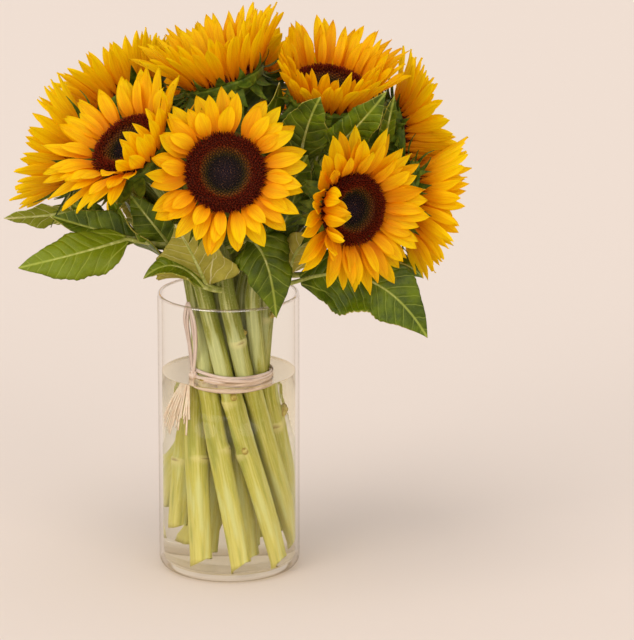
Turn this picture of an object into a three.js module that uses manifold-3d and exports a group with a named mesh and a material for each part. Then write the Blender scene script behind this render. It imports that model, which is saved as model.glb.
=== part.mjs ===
// Twelve cut sunflowers tied with raffia, standing in a clear glass cylinder vase of water.
// Millimetres, +Z up. The origin is the centre of the vase's foot, and the bouquet's front faces -Y.
// Each flower is one green leafy stem, one yellow ring of ray petals and one brown disc.
import * as THREE from "three";
import { mergeVertices } from "three/addons/utils/BufferGeometryUtils.js";
import Module from "manifold-3d";

const wasm = await Module();
wasm.setup();

// Driving dimensions of the vase and the water
const VASE_RADIUS = 51;
const VASE_HEIGHT = 205;
const WALL = 3;
const FLOOR = 5;
const FOOT_ROUND = 8;
const INNER_ROUND = 5;
const WATER_LEVEL = 145;
const VASE_SIDES = 28;

// Clearance kept between neighbouring pieces
const GAP = 0.35;

// Stems: straight through the tie as one spiral, then curving out to their blooms
const STEM_SIDES = 7;
const FOOT_STEM_RADIUS = 6.5;
const EXIT_STEM_RADIUS = 6;
const NECK_RADIUS = 4.4;
const CUT_SLANT = 0.55;
const TIE_HEIGHT = 142;
const BUNDLE_X = 2;
const EXIT_HEIGHT = 196;
const OUTER_SLOT_RADIUS = 21.8;
const INNER_SLOT_RADIUS = 8.2;
const OUTER_LEAN = 0.235;
const INNER_LEAN = 0.1;
const CURVE_RINGS = 5;

// Flower heads, measured along the head's own axis from the plane of the petals' roots
const ROOT_OUT = [2.2, 0.9];
const ROOT_HEIGHT = [-1.1, 0.9];
const RING_INNER = 0.7;
const RING_OUTER = 4.4;
const RING_LOW = -2.6;
const RING_MIDDLE = 0;
const RING_HIGH = 2.4;
const DISC_LOW = -2.6;
const CALYX_TOP = -3;
const CALYX_DEPTH = 27;
const RIM_OVER = 3.4;
const DISC_SIDES = 16;
const DISC_RELIEF = 0.8;

// Petals, green bracts and leaves, as thin blades
const PETALS = 22;
const UPPER_TILT = 17;
const PETAL_WIDTH = 15;
const PETAL_THICKNESS = 1.1;
const TILT_STEP = 4;
const MOST_TILT = 118;
const STEEP = 72;
const BRACTS = 11;
const BRACT_LENGTH = 25;
const BRACT_WIDTH = 11;
const BRACT_THICKNESS = 1.3;
const LEAF_THICKNESS = 1.2;
const LEAF_SECTIONS = 7;
const STALK_RADIUS = 2.3;
const CELL_MARGIN = 0.8;

const DEGREE = Math.PI / 180;
const UP = new THREE.Vector3(0, 0, 1);
const vec = (x, y, z) => new THREE.Vector3(x, y, z);

// Each flower: the centre of its head and the way it faces; the disc's radius, the petals' length and
// their tilt from the head's plane, the more that its lower side tilts, and how firmly it holds its
// ground against its neighbours; its place in the tie as an angle about the vase's axis, and the height
// of its cut end.
const FLOWERS = [
  {
    at: [0, -95, 316], face: [0.05, -0.93, 0.37],
    disc: 27.5, petal: 30, tilt: 3, nod: 0, hold: 1.5, slot: 300, cut: 14,
  },
  {
    at: [-68, -66, 327], face: [-0.5, -0.42, 0.76],
    disc: 26.5, petal: 37, tilt: 16, nod: 0, hold: 1, slot: 260, cut: 11,
  },
  {
    at: [88, -78, 286], face: [0.56, -0.83, 0.07],
    disc: 25, petal: 34, tilt: 12, nod: 0, hold: 1.1, slot: 340, cut: 30,
  },
  {
    at: [-4, -4, 366], face: [-0.3, 0, 0.954],
    disc: 27, petal: 41, tilt: 52, nod: 0, hold: 1.1, slot: 250, inner: true, cut: 11,
  },
  {
    at: [72, -14, 356], face: [0.14, -0.33, 0.93],
    disc: 26.5, petal: 39, tilt: 34, nod: 24, hold: 1, slot: 10, inner: true, cut: 13,
  },
  {
    at: [-107, 4, 305], face: [-0.94, 0.2, 0.26],
    disc: 24, petal: 40, tilt: 50, nod: 0, hold: 1, slot: 220, cut: 11,
  },
  {
    at: [-71, 52, 336], face: [-0.42, 0.5, 0.75],
    disc: 24, petal: 36, tilt: 50, nod: 0, hold: 1, slot: 180, cut: 12,
  },
  {
    at: [123, 30, 313], face: [0.97, 0.24, 0.03],
    disc: 24, petal: 37, tilt: 56, nod: 0, hold: 1, slot: 60, cut: 13,
  },
  {
    at: [131, -22, 279], face: [0.94, 0.13, -0.28],
    disc: 24, petal: 37, tilt: 42, nod: 0, hold: 1, slot: 20, cut: 18,
  },
  {
    at: [70, 92, 300], face: [0.55, 0.8, 0.24],
    disc: 25.5, petal: 36, tilt: 20, nod: 0, hold: 1, slot: 100, cut: 40,
  },
  {
    at: [-56, 104, 290], face: [-0.4, 0.9, 0.17],
    disc: 26, petal: 36, tilt: 18, nod: 0, hold: 1.1, slot: 140, cut: 28,
  },
  {
    at: [8, 72, 344], face: [0.06, 0.66, 0.75],
    disc: 25.5, petal: 36, tilt: 24, nod: 0, hold: 1, slot: 130, inner: true, cut: 12,
  },
];

// Each leaf: the blade's base, the middle of its bow and its tip, its width, how sharply it is folded
// along the rib, and the direction that its upper side faces.
const LEAVES = [
  {
    base: [-70, -50, 257], bow: [-107, -62, 249], tip: [-147, -62, 239],
    width: 38, fold: 0.12, up: [-0.2, -0.75, 0.62],
  },
  {
    base: [-62, -40, 254], bow: [-93, -42, 262], tip: [-125, -40, 271],
    width: 24, fold: 0.5, up: [0.1, -0.7, 0.7],
  },
  {
    base: [-111, -2, 265], bow: [-134, -4, 272], tip: [-160, -6, 277],
    width: 22, fold: 0.1, up: [0, 0.85, 0.5],
  },
  {
    base: [-15, -46, 223], bow: [-24, -62, 249], tip: [-36, -58, 270],
    width: 60, fold: 0.15, up: [0.1, 0.85, 0.5],
  },
  {
    base: [-17, -50, 222], bow: [-37, -60, 240], tip: [-59, -58, 230],
    width: 24, fold: 0.3, up: [0, -0.6, 0.8],
  },
  {
    base: [15, -48, 256], bow: [28, -66, 244], tip: [35, -62, 202],
    width: 40, fold: 0.3, up: [0.1, -0.95, 0.3],
  },
  {
    base: [52, -40, 224], bow: [102, -62, 229], tip: [142, -60, 187],
    width: 56, fold: 0.1, up: [0.1, -0.85, 0.5],
  },
  {
    base: [112, -10, 230], bow: [127, -12, 231], tip: [140, -12, 223],
    width: 18, fold: 0.1, up: [0, -0.5, 0.85],
  },
  {
    base: [52, -38, 311], bow: [57, -58, 340], tip: [66, -69, 364],
    width: 34, fold: 0.2, up: [-0.15, -0.95, 0.25],
  },
  {
    base: [67, -40, 312], bow: [89, -68, 340], tip: [112, -82, 371],
    width: 28, fold: 0.25, up: [0.35, -0.9, 0.3],
  },
  {
    base: [110, -28, 315], bow: [114, -44, 340], tip: [118, -51, 361],
    width: 11, fold: 0.2, up: [0.2, -0.95, 0.2],
  },
  {
    base: [45, -40, 230], bow: [50, -54, 250], tip: [64, -52, 263],
    width: 24, fold: 0.2, up: [0.2, 0.8, 0.55],
  },
  {
    base: [-39, -30, 245], bow: [-53, -46, 268], tip: [-68, -44, 287],
    width: 28, fold: 0.2, up: [-0.3, -0.85, 0.4],
  },
  {
    base: [-84, -20, 252], bow: [-97, -34, 268], tip: [-112, -36, 279],
    width: 22, fold: 0.2, up: [-0.2, -0.6, 0.75],
  },
  {
    base: [-52, 44, 246], bow: [-92, 78, 262], tip: [-128, 96, 238],
    width: 40, fold: 0.15, up: [-0.2, 0.5, 0.85],
  },
  {
    base: [12, 52, 236], bow: [16, 88, 247], tip: [22, 112, 205],
    width: 44, fold: 0.15, up: [0, 0.5, 0.86],
  },
  {
    base: [62, 44, 240], bow: [104, 76, 256], tip: [136, 92, 222],
    width: 40, fold: 0.15, up: [0.1, 0.5, 0.85],
  },
  {
    base: [44, -38, 291], bow: [50, -46, 304], tip: [57, -50, 318],
    width: 28, fold: 0.2, up: [-0.3, -0.9, 0.2],
  },
  {
    base: [90, 10, 250], bow: [120, 20, 250], tip: [150, 34, 232],
    width: 28, fold: 0.2, up: [0.2, 0.1, 0.95],
  },
];

// The pushes tried on a leaf's tip, smallest first
const PUSHES = [[0, 0, 0]];
for (const far of [5, 10, 16, 23, 31]) {
  for (const [x, y, z] of [[0, 0, -1], [0, 0, 1], [0, -1, 0], [0, 1, 0], [1, 0, 0], [-1, 0, 0]]) {
    PUSHES.push([x * far, y * far, z * far]);
  }
}

// A repeatable stream of numbers from 0 to 1
function randomStream(seed) {
  let state = seed;
  return () => {
    state = (state * 1664525 + 1013904223) % 4294967296;
    return state / 4294967296;
  };
}

// A closed geometry as a solid, turned the right way out
function solidOf(geometry) {
  const bare = geometry.clone();
  for (const name of Object.keys(bare.attributes)) if (name !== "position") bare.deleteAttribute(name);
  const merged = mergeVertices(bare, 1e-4);
  const triVerts = new Uint32Array(merged.index.array);
  const vertProperties = merged.attributes.position.array;
  const made = new wasm.Manifold(new wasm.Mesh({ numProp: 3, vertProperties, triVerts }));
  if (made.volume() > 0) return made;
  const turned = triVerts.slice();
  for (let i = 0; i < turned.length; i += 3) {
    turned[i + 1] = triVerts[i + 2];
    turned[i + 2] = triVerts[i + 1];
  }
  return new wasm.Manifold(new wasm.Mesh({ numProp: 3, vertProperties, triVerts: turned }));
}

// A solid as a geometry that a mesh can show
function geometryOf(solid) {
  const mesh = solid.getMesh();
  const geometry = new THREE.BufferGeometry();
  geometry.setAttribute("position", new THREE.BufferAttribute(new Float32Array(mesh.vertProperties), 3));
  geometry.setIndex(new THREE.BufferAttribute(new Uint32Array(mesh.triVerts), 1));
  geometry.computeVertexNormals();
  return geometry;
}

const joined = (solids) => solids.reduce((sum, solid) => sum.add(solid));

// A profile of [radius, height] pairs turned about the Z axis
function turned(profile, sides) {
  const points = profile.map(([r, z]) => new THREE.Vector2(r, z));
  return new THREE.LatheGeometry(points, sides).rotateX(Math.PI / 2);
}

// Points of a quarter circle in a profile
function arcPoints(r, z, radius, from, to, steps) {
  const points = [];
  for (let i = 0; i <= steps; i++) {
    const angle = (from + ((to - from) * i) / steps) * DEGREE;
    points.push([r + radius * Math.cos(angle), z + radius * Math.sin(angle)]);
  }
  return points;
}

// A closed tube whose rings follow a list of {at, along, wide, high}, from a cylinder's vertices
function tube(rings, sides) {
  const base = new THREE.CylinderGeometry(1, 1, rings.length - 1, sides, rings.length - 1);
  const position = base.attributes.position;
  let across = Math.abs(rings[0].along.z) > 0.9 ? vec(1, 0, 0) : vec(0, 0, 1);
  const frames = rings.map((ring) => {
    const along = ring.along.clone().normalize();
    across = across.clone().addScaledVector(along, -across.dot(along)).normalize();
    return { across, other: along.clone().cross(across) };
  });
  for (let i = 0; i < position.count; i++) {
    const k = Math.round(position.getY(i) + (rings.length - 1) / 2);
    const ring = rings[k];
    const p = ring.at.clone();
    p.addScaledVector(frames[k].across, position.getX(i) * ring.wide);
    p.addScaledVector(frames[k].other, position.getZ(i) * ring.high);
    if (ring.slant) p.z += ring.slant * position.getX(i) * ring.wide;
    position.setXYZ(i, p.x, p.y, p.z);
  }
  return base;
}

// A thin closed blade: sections of three or four points each, going round, and one tip. The quads of
// its upper and lower faces are split alike.
function blade(sections, tip) {
  const n = sections[0].length;
  const index = [];
  for (let k = 0; k + 1 < sections.length; k++) {
    for (let j = 0; j < n; j++) {
      const [a, b] = [k * n + j, k * n + ((j + 1) % n)];
      if (j + 0.6 < n / 2) index.push(a, b, a + n, b, b + n, a + n);
      else index.push(a, b, b + n, a, b + n, a + n);
    }
  }
  const end = sections.length * n;
  for (let j = 0; j < n; j++) index.push(end - n + j, end - n + ((j + 1) % n), end);
  for (let j = 1; j + 1 < n; j++) index.push(0, j + 1, j);
  const geometry = new THREE.BufferGeometry().setFromPoints([...sections.flat(), tip]);
  geometry.setIndex(index);
  return geometry;
}

// The head's own frame: out along its facing, and two directions across it
function headFrame(flower) {
  const out = vec(...flower.face).normalize();
  const side = Math.abs(out.z) > 0.95 ? vec(1, 0, 0) : out.clone().cross(UP).negate().normalize();
  side.addScaledVector(out, -side.dot(out)).normalize();
  return { at: vec(...flower.at), side, over: out.clone().cross(side), out };
}

// A point of the head's frame in the part's frame
function place(head, x, y, z) {
  const point = head.at.clone();
  point.addScaledVector(head.side, x);
  point.addScaledVector(head.over, y);
  point.addScaledVector(head.out, z);
  return point;
}

const HEADS = FLOWERS.map(headFrame);

// Planes that share out the space between neighbouring heads: a head's petals stay on its own side
const CELLS = FLOWERS.map((flower, i) => {
  const planes = [];
  FLOWERS.forEach((other, j) => {
    const apart = HEADS[j].at.clone().sub(HEADS[i].at);
    if (i === j || apart.length() > 150) return;
    const share = flower.hold / (flower.hold + other.hold);
    planes.push({ through: HEADS[i].at.clone().addScaledVector(apart, share), away: apart.normalize() });
  });
  return planes;
});

// How far a point passes out of its head's own space
function outside(i, point) {
  const past = CELLS[i].map((plane) => point.clone().sub(plane.through).dot(plane.away));
  return Math.max(...past) + CELL_MARGIN;
}

// The part of its full width that a petal has at u
function petalWidth(u) {
  if (u < 0.45) return 0.36 + 0.64 * Math.sin((Math.PI * u) / 0.9);
  return 1 - Math.pow((u - 0.45) / 0.55, 2.3);
}

// A point of a petal: u runs from root to tip and s from edge to edge; lift is along its own normal
function petalPoint(i, petal, u, s, lift) {
  const start = (petal.tilt + petal.arch / 2) * DEGREE;
  const turn = (Math.abs(petal.arch) < 1 ? 1 : -petal.arch) * DEGREE;
  const now = start + turn * u;
  const along = petal.length / turn;
  const r = FLOWERS[i].disc + ROOT_OUT[petal.layer] + along * (Math.sin(now) - Math.sin(start));
  const z = ROOT_HEIGHT[petal.layer] + along * (Math.cos(start) - Math.cos(now));
  const half = (s * petalWidth(u) * petal.width) / 2;
  const rise = lift + petal.camber * s * s * petalWidth(u);
  const [radial, height] = [r - rise * Math.sin(now), z + rise * Math.cos(now)];
  const [c, w] = [Math.cos(petal.azimuth), Math.sin(petal.azimuth)];
  return place(HEADS[i], radial * c - half * w, radial * w + half * c, height);
}

// Lifts and curls a petal towards its disc, as a neighbour presses it, until it is clear of it
function seatPetal(i, petal) {
  const past = (u, s) => outside(i, petalPoint(i, petal, u, s, 0)) > 0;
  const crosses = () => [0.3, 0.55, 0.8, 1].some((u) => [-1, 0, 1].some((s) => past(u, s)));
  const free = petal.tilt;
  while (crosses() && petal.tilt < petal.most) {
    petal.tilt += TILT_STEP;
    petal.arch -= 0.8 * TILT_STEP;
  }
  while (crosses() && petal.length > 12) petal.length *= 0.93;
  petal.pressed = petal.tilt > Math.min(free + 5, STEEP);
  return petal;
}

// A mesh built face by face, closed when every face has been added
class Faces {
  constructor() {
    this.points = [];
    this.index = [];
  }

  // Adds points and gives back their numbers
  add(...points) {
    this.points.push(...points);
    return points.map((p, k) => this.points.length - points.length + k);
  }

  // A ring of points about the head's axis, half a step before each of its columns
  circle(i, columns, radius, height) {
    const points = [];
    for (let k = 0; k < columns; k++) {
      const angle = ((k - 0.5) / columns) * 2 * Math.PI;
      points.push(place(HEADS[i], radius * Math.cos(angle), radius * Math.sin(angle), height));
    }
    return this.add(...points);
  }

  quad(a, b, c, d) {
    this.index.push(a, b, c, a, c, d);
  }

  // A petal or bract grown from a quad: a and b below, c and d above, then three-point sections and a tip
  grow([a, b, c, d], sections, tip) {
    const rows = sections.map((section) => this.add(...section));
    const [left, right, keel] = rows[0];
    this.index.push(d, left, right, d, right, c, a, b, keel);
    this.index.push(b, c, right, b, right, keel, d, a, left, a, keel, left);
    for (let k = 0; k + 1 < rows.length; k++) {
      const [l, r, m] = rows[k];
      const [l2, r2, m2] = rows[k + 1];
      this.index.push(l, l2, r2, l, r2, r, r, r2, m2, r, m2, m, m, m2, l2, m, l2, l);
    }
    const [l, r, m] = rows[rows.length - 1];
    const [end] = this.add(tip);
    this.index.push(l, end, r, r, end, m, m, end, l);
  }

  solid() {
    const geometry = new THREE.BufferGeometry().setFromPoints(this.points);
    geometry.setIndex(this.index);
    return solidOf(geometry);
  }
}

// The ring of ray petals: even ones grow from its lower row of faces and odd ones from its upper row,
// and those that a neighbour presses are fused to it one by one, as they may cross each other
function petalRing(i) {
  const flower = FLOWERS[i];
  const random = randomStream(120 + i);
  const [inner, outer] = [flower.disc + RING_INNER, flower.disc + RING_OUTER];
  const faces = new Faces();
  const pressed = [];
  const base = faces.circle(i, PETALS, inner, RING_LOW);
  const low = faces.circle(i, PETALS, outer, RING_LOW);
  const middle = faces.circle(i, PETALS, (inner + outer) / 2, RING_MIDDLE);
  const high = faces.circle(i, PETALS, inner, RING_HIGH);
  for (let k = 0; k < PETALS; k++) {
    const j = (k + 1) % PETALS;
    const upper = k % 2;
    faces.quad(base[k], base[j], low[j], low[k]);
    faces.quad(base[k], high[k], high[j], base[j]);
    const rows = [
      [low[k], low[j], middle[j], middle[k]],
      [middle[k], middle[j], high[j], high[k]],
    ];
    faces.quad(...rows[1 - upper]);
    const azimuth = ((k + 0.3 * (random() - 0.5)) / PETALS) * 2 * Math.PI;
    const nod = (flower.nod * (1 - Math.sin(azimuth))) / 2;
    const petal = seatPetal(i, {
      azimuth,
      layer: upper,
      tilt: flower.tilt + nod + upper * UPPER_TILT + 5 * (random() - 0.5),
      most: MOST_TILT - (1 - upper) * UPPER_TILT,
      arch: 16 + 8 * random() - 3 * upper,
      length: flower.petal * (1 - 0.12 * upper) * (0.92 + 0.14 * random()),
      width: PETAL_WIDTH,
      camber: 1.1,
    });
    const at = (u, s, lift) => petalPoint(i, petal, u, s, lift);
    const section = (u) => [at(u, -1, 0), at(u, 1, 0), at(u, 0, -PETAL_THICKNESS)];
    const [root, ...sections] = [0, 0.42, 0.78].map(section);
    if (!petal.pressed) {
      faces.grow(rows[upper], sections, at(1, 0, 0));
      continue;
    }
    faces.quad(...rows[upper]);
    pressed.push(solidOf(blade([root, ...sections], at(1, 0, 0))));
  }
  return joined([faces.solid(), ...pressed]);
}

function headMatrix(i) {
  const head = HEADS[i];
  return new THREE.Matrix4().makeBasis(head.side, head.over, head.out).setPosition(head.at);
}

// The disc: a low dome of florets with a dimple about its dark middle, its relief raised by a rule
function discDome(i) {
  const R = FLOWERS[i].disc;
  const profile = [
    [0, DISC_LOW],
    [R, DISC_LOW],
    [R, 2.6],
    [0.83 * R, 5.9],
    [0.5 * R, 5],
    [0.22 * R, 6],
    [0, 6.4],
  ];
  const dome = turned(profile, DISC_SIDES);
  const position = dome.attributes.position;
  for (let k = 0; k < position.count; k++) {
    const p = vec().fromBufferAttribute(position, k);
    const ring = k % profile.length;
    const around = Math.floor(k / profile.length) % DISC_SIDES;
    const raised = (around + ring) % 2 ? DISC_RELIEF : -DISC_RELIEF;
    if (ring > 2 && ring < profile.length - 1) p.z += raised;
    position.setXYZ(k, p.x, p.y, p.z);
  }
  return solidOf(dome.applyMatrix4(headMatrix(i)));
}

// The line of a stem through its place in the tie, and the curve from there to its head
function stemLine(i) {
  const flower = FLOWERS[i];
  const radius = flower.inner ? INNER_SLOT_RADIUS : OUTER_SLOT_RADIUS;
  const lean = flower.inner ? INNER_LEAN : OUTER_LEAN;
  const angle = flower.slot * DEGREE;
  const tie = vec(BUNDLE_X + radius * Math.cos(angle), radius * Math.sin(angle), TIE_HEIGHT);
  const along = vec(lean * Math.sin(angle), -lean * Math.cos(angle), 1);
  const at = (z) => tie.clone().addScaledVector(along, z - TIE_HEIGHT);
  return { at, along: along.clone().normalize() };
}

function stemCurve(i) {
  const line = stemLine(i);
  const head = HEADS[i];
  const from = line.at(EXIT_HEIGHT);
  const to = place(head, 0, 0, CALYX_TOP - CALYX_DEPTH + 5);
  const reach = from.distanceTo(to);
  const a = from.clone().addScaledVector(line.along, reach * 0.42);
  const b = to.clone().addScaledVector(head.out, -reach * 0.36);
  return new THREE.CubicBezierCurve3(from, a, b, to);
}

function stemRings(i, extra) {
  const flower = FLOWERS[i];
  const line = stemLine(i);
  const curve = stemCurve(i);
  const low = FOOT_STEM_RADIUS + extra;
  const mid = EXIT_STEM_RADIUS + extra;
  const neck = NECK_RADIUS + extra;
  const foot = line.at(flower.cut - extra);
  const rings = [{ at: foot, along: line.along, wide: low, high: low, slant: CUT_SLANT }];
  for (let k = 0; k <= CURVE_RINGS; k++) {
    const t = k / CURVE_RINGS;
    const radius = mid + (neck - mid) * t;
    rings.push({ at: curve.getPoint(t), along: curve.getTangent(t), wide: radius, high: radius });
  }
  return rings;
}

const stemTube = (i, extra = 0) => solidOf(tube(stemRings(i, extra), STEM_SIDES));

// Presses a bract back where a neighbour is near; gives a function of the points along it
function seatBract(i, bract) {
  const root = FLOWERS[i].disc - 1;
  const [c, w] = [Math.cos(bract.azimuth), Math.sin(bract.azimuth)];
  const point = (u, s, lift) => {
    const tilt = (bract.tilt + 24 * u) * DEGREE;
    const r = root + bract.length * u * Math.cos(tilt) - lift * Math.sin(tilt);
    const z = CALYX_TOP - 2.5 + bract.length * u * Math.sin(tilt) + lift * Math.cos(tilt);
    const half = (s * BRACT_WIDTH * (1 - u * u)) / 2;
    return place(HEADS[i], r * c - half * w, r * w + half * c, z);
  };
  const free = () => [0.6, 1].every((u) => outside(i, point(u, 0, 0)) < 0);
  while (!free() && bract.tilt > -80) bract.tilt -= TILT_STEP;
  while (!free() && bract.length > 9) bract.length *= 0.9;
  return point;
}

// The green cup that carries the head, widening from the neck to the rim, where its bracts grow
function calyx(i) {
  const random = randomStream(500 + i);
  const rim = FLOWERS[i].disc + RIM_OVER;
  const faces = new Faces();
  const rows = [
    [NECK_RADIUS + 0.6, CALYX_TOP - CALYX_DEPTH],
    [NECK_RADIUS + 4, CALYX_TOP - CALYX_DEPTH + 8],
    [0.66 * rim, CALYX_TOP - 12],
    [0.95 * rim, CALYX_TOP - 5],
    [rim, CALYX_TOP],
  ].map(([radius, height]) => faces.circle(i, BRACTS, radius, height));
  const [bottom] = faces.add(place(HEADS[i], 0, 0, CALYX_TOP - CALYX_DEPTH));
  const [top] = faces.add(place(HEADS[i], 0, 0, CALYX_TOP));
  for (let k = 0; k < BRACTS; k++) {
    const j = (k + 1) % BRACTS;
    faces.index.push(bottom, rows[0][j], rows[0][k], top, rows[4][k], rows[4][j]);
    for (let row = 0; row < 3; row++) {
      faces.quad(rows[row][k], rows[row][j], rows[row + 1][j], rows[row + 1][k]);
    }
    const azimuth = ((k + 0.2 * (random() - 0.5)) / BRACTS) * 2 * Math.PI;
    const tilt = -30 - 14 * (k % 2) + 8 * random();
    const at = seatBract(i, { azimuth, tilt, length: BRACT_LENGTH * (0.85 + 0.3 * random()) });
    const section = [at(0.5, -1, 0), at(0.5, 1, 0), at(0.5, 0, -BRACT_THICKNESS)];
    faces.grow([rows[3][k], rows[3][j], rows[4][j], rows[4][k]], [section], at(1, 0, 0));
  }
  return faces.solid();
}

// The part of its full width that a leaf has at u
function leafWidth(u) {
  if (u < 0.3) return 0.15 + 0.85 * Math.sin((Math.PI * u) / 0.6);
  return Math.cos((Math.PI / 2) * Math.pow((u - 0.3) / 0.7, 1.3));
}

// A leaf: a stalk that widens into an ovate blade with toothed edges, folded a little along its rib
function leafSolid(leaf, push, from) {
  const [base, middle, tip] = [leaf.base, leaf.bow, leaf.tip].map((p) => vec(...p));
  middle.addScaledVector(push, 0.6);
  tip.add(push);
  const bow = middle.multiplyScalar(2).addScaledVector(base, -0.5).addScaledVector(tip, -0.5);
  const sag = from.clone().lerp(base, 0.5).add(vec(0, 0, -0.08 * from.distanceTo(base)));
  const stalk = new THREE.QuadraticBezierCurve3(from, sag, base);
  const rib = new THREE.QuadraticBezierCurve3(base, bow, tip);
  const up = vec(...leaf.up).normalize();
  const section = (curve, u, half, thick) => {
    const along = curve.getTangent(u);
    const across = along.clone().cross(up).normalize();
    const normal = across.clone().cross(along);
    const fold = thick < STALK_RADIUS ? leaf.fold * half : 0;
    const centre = curve.getPoint(u);
    const at = (s, lift) => centre.clone().addScaledVector(across, s * half).addScaledVector(normal, lift);
    return [at(-1, fold), at(0, thick / 2), at(1, fold), at(0, -thick / 2)];
  };
  const sections = [0, 0.55].map((v) => {
    const radius = STALK_RADIUS * (1 - 0.3 * v);
    return section(stalk, v, radius, 2 * radius);
  });
  for (let k = 0; k < LEAF_SECTIONS; k++) {
    const u = k / LEAF_SECTIONS;
    const half = (leaf.width / 2) * (k % 2 ? 1 : 0.9) * leafWidth(u);
    sections.push(section(rib, u, half, LEAF_THICKNESS * (k ? 1 : 1.6)));
  }
  return solidOf(blade(sections, tip));
}

// The stem that passes nearest under a leaf's base, and the point where the leaf's stalk leaves it
function nearestStem(base) {
  let best = { cost: Infinity };
  FLOWERS.forEach((flower, i) => {
    const curve = stemCurve(i);
    for (let t = 0; t < 0.95; t += 0.02) {
      const point = curve.getPoint(t);
      const cost = point.distanceTo(base) + 2 * Math.max(0, point.z + 8 - base.z);
      if (cost < best.cost) best = { cost, i, point };
    }
  });
  return best;
}

// Bends a leaf clear of everything but its own stem: the smallest push of its tip that frees it
function seatLeaf(leaf, others) {
  const stem = nearestStem(vec(...leaf.base));
  let best = { overlap: Infinity };
  for (const push of PUSHES) {
    const whole = leafSolid(leaf, vec(...push), stem.point);
    const overlap = others(stem.i).reduce((sum, other) => sum + whole.intersect(other).volume(), 0);
    if (overlap < best.overlap) best = { overlap, whole, i: stem.i };
    if (overlap === 0) break;
  }
  if (best.overlap > 0.01) throw new Error(`No room for the leaf at ${leaf.base}`);
  return best;
}

// Raffia: the loop that stands up from the knot, and the frayed tails that hang in the water
const STRANDS = [
  { path: [[-28, -16, 170], [-31, -17, 190], [-28.5, -18, 202]], wide: 1.9, steps: 4 },
  { path: [[-23, -21.5, 170], [-24, -22, 188], [-28.5, -18, 202]], wide: 1.9, steps: 4 },
  { path: [[-25, -14.6, 138], [-34, -17, 124], [-41, -13, 108]], wide: 3, steps: 3 },
  { path: [[-23.8, -16.8, 138], [-31, -22, 122], [-34, -25, 104]], wide: 2.6, steps: 3 },
];

// The vase's inner outline, drawn in by a clearance, from the axis to a height
function innerProfile(clear, top) {
  const r = VASE_RADIUS - WALL - clear;
  const floor = FLOOR + clear;
  const round = arcPoints(r - INNER_ROUND + clear, FLOOR + INNER_ROUND, INNER_ROUND - clear, -90, 0, 2);
  return [[0, floor], ...round, [r, top]];
}

function vaseSolid() {
  const outer = [[0, 0], ...arcPoints(VASE_RADIUS - FOOT_ROUND, FOOT_ROUND, FOOT_ROUND, -90, 0, 3)];
  const lip = arcPoints(VASE_RADIUS - WALL / 2, VASE_HEIGHT - WALL / 2, WALL / 2, 0, 180, 3);
  const inner = innerProfile(0, VASE_HEIGHT - WALL / 2).reverse().slice(1);
  return solidOf(turned([...outer, ...lip, ...inner], VASE_SIDES));
}

const TIE_INNER = OUTER_SLOT_RADIUS + EXIT_STEM_RADIUS + 0.9;
const TIE_THICK = 1.6;
const WRAP_HEIGHT = 3.4;
const STRAND_THICK = 0.8;
const WRAPS = [{ height: 147.6, tip: 2 }, { height: 138.4, tip: -1.5 }];
const KNOT = vec(-25.4, -14.8, 147);

// One wrap of raffia round the bundle, its clearance added on every side
function wrap(height, tip, extra) {
  const [inner, outer] = [TIE_INNER - extra, TIE_INNER + TIE_THICK + extra];
  const half = WRAP_HEIGHT / 2 + extra;
  const profile = [[inner, -half], [outer, -half], [outer, half], [inner, half], [inner, -half]];
  return solidOf(turned(profile, 14).rotateY(tip * DEGREE).translate(BUNDLE_X, 0, height));
}

// A flat strand of raffia along a curve, its clearance added on every side and at its free end
function strand({ path, wide, steps }, extra) {
  const curve = new THREE.CatmullRomCurve3([KNOT, ...path.map((p) => vec(...p))]);
  const rings = [];
  for (let k = 0; k <= steps; k++) {
    const along = curve.getTangent(k / steps);
    const at = curve.getPoint(k / steps).addScaledVector(along, (extra * k) / steps);
    rings.push({ at, along, wide: wide + extra, high: STRAND_THICK + extra });
  }
  return solidOf(tube(rings, 4));
}

function tieSolid(extra = 0) {
  const knot = solidOf(new THREE.SphereGeometry(3.2 + extra, 7, 5).translate(KNOT.x, KNOT.y, KNOT.z));
  const parts = WRAPS.map((w) => wrap(w.height, w.tip, extra)).concat(knot);
  return joined([...parts, ...STRANDS.map((s) => strand(s, extra))]);
}

// The water fills the vase to its level, with a hole for each stem and for the tie
function waterSolid() {
  const profile = [...innerProfile(GAP, WATER_LEVEL), [0, WATER_LEVEL]];
  const holes = FLOWERS.map((flower, i) => stemTube(i, GAP + 0.1));
  return solidOf(turned(profile, VASE_SIDES)).subtract(joined([...holes, tieSolid(GAP)]));
}

// A plain material, see-through where its opacity is below 1
function look(color, roughness, opacity = 1) {
  const transparent = opacity < 1;
  return new THREE.MeshStandardMaterial({ color, roughness, opacity, transparent, metalness: 0 });
}

const looks = {
  glass: look(0xeef2f0, 0.03, 0.3),
  water: look(0xe6e4c8, 0.02, 0.4),
  raffia: look(0xe3c3a8, 0.6),
  green: look(0x7c8a30, 0.6),
  yellow: look(0xf6b306, 0.55),
  brown: look(0x45200f, 0.85),
};

const bouquet = new THREE.Group();

function add(name, solid, material) {
  const mesh = new THREE.Mesh(geometryOf(solid), material);
  mesh.name = name;
  bouquet.add(mesh);
}

const vase = vaseSolid();
const tie = tieSolid();
const stems = FLOWERS.map((flower, i) => stemTube(i).add(calyx(i)));
const rings = FLOWERS.map((flower, i) => petalRing(i));
const discs = FLOWERS.map((flower, i) => discDome(i));

// Each leaf is bent clear of what stands before it, then fused to the stem that bears it
for (const leaf of LEAVES) {
  const others = (own) => [vase, tie, ...rings, ...discs, ...stems.filter((stem, i) => i !== own)];
  const { whole, i } = seatLeaf(leaf, others);
  stems[i] = stems[i].add(whole);
}

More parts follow.
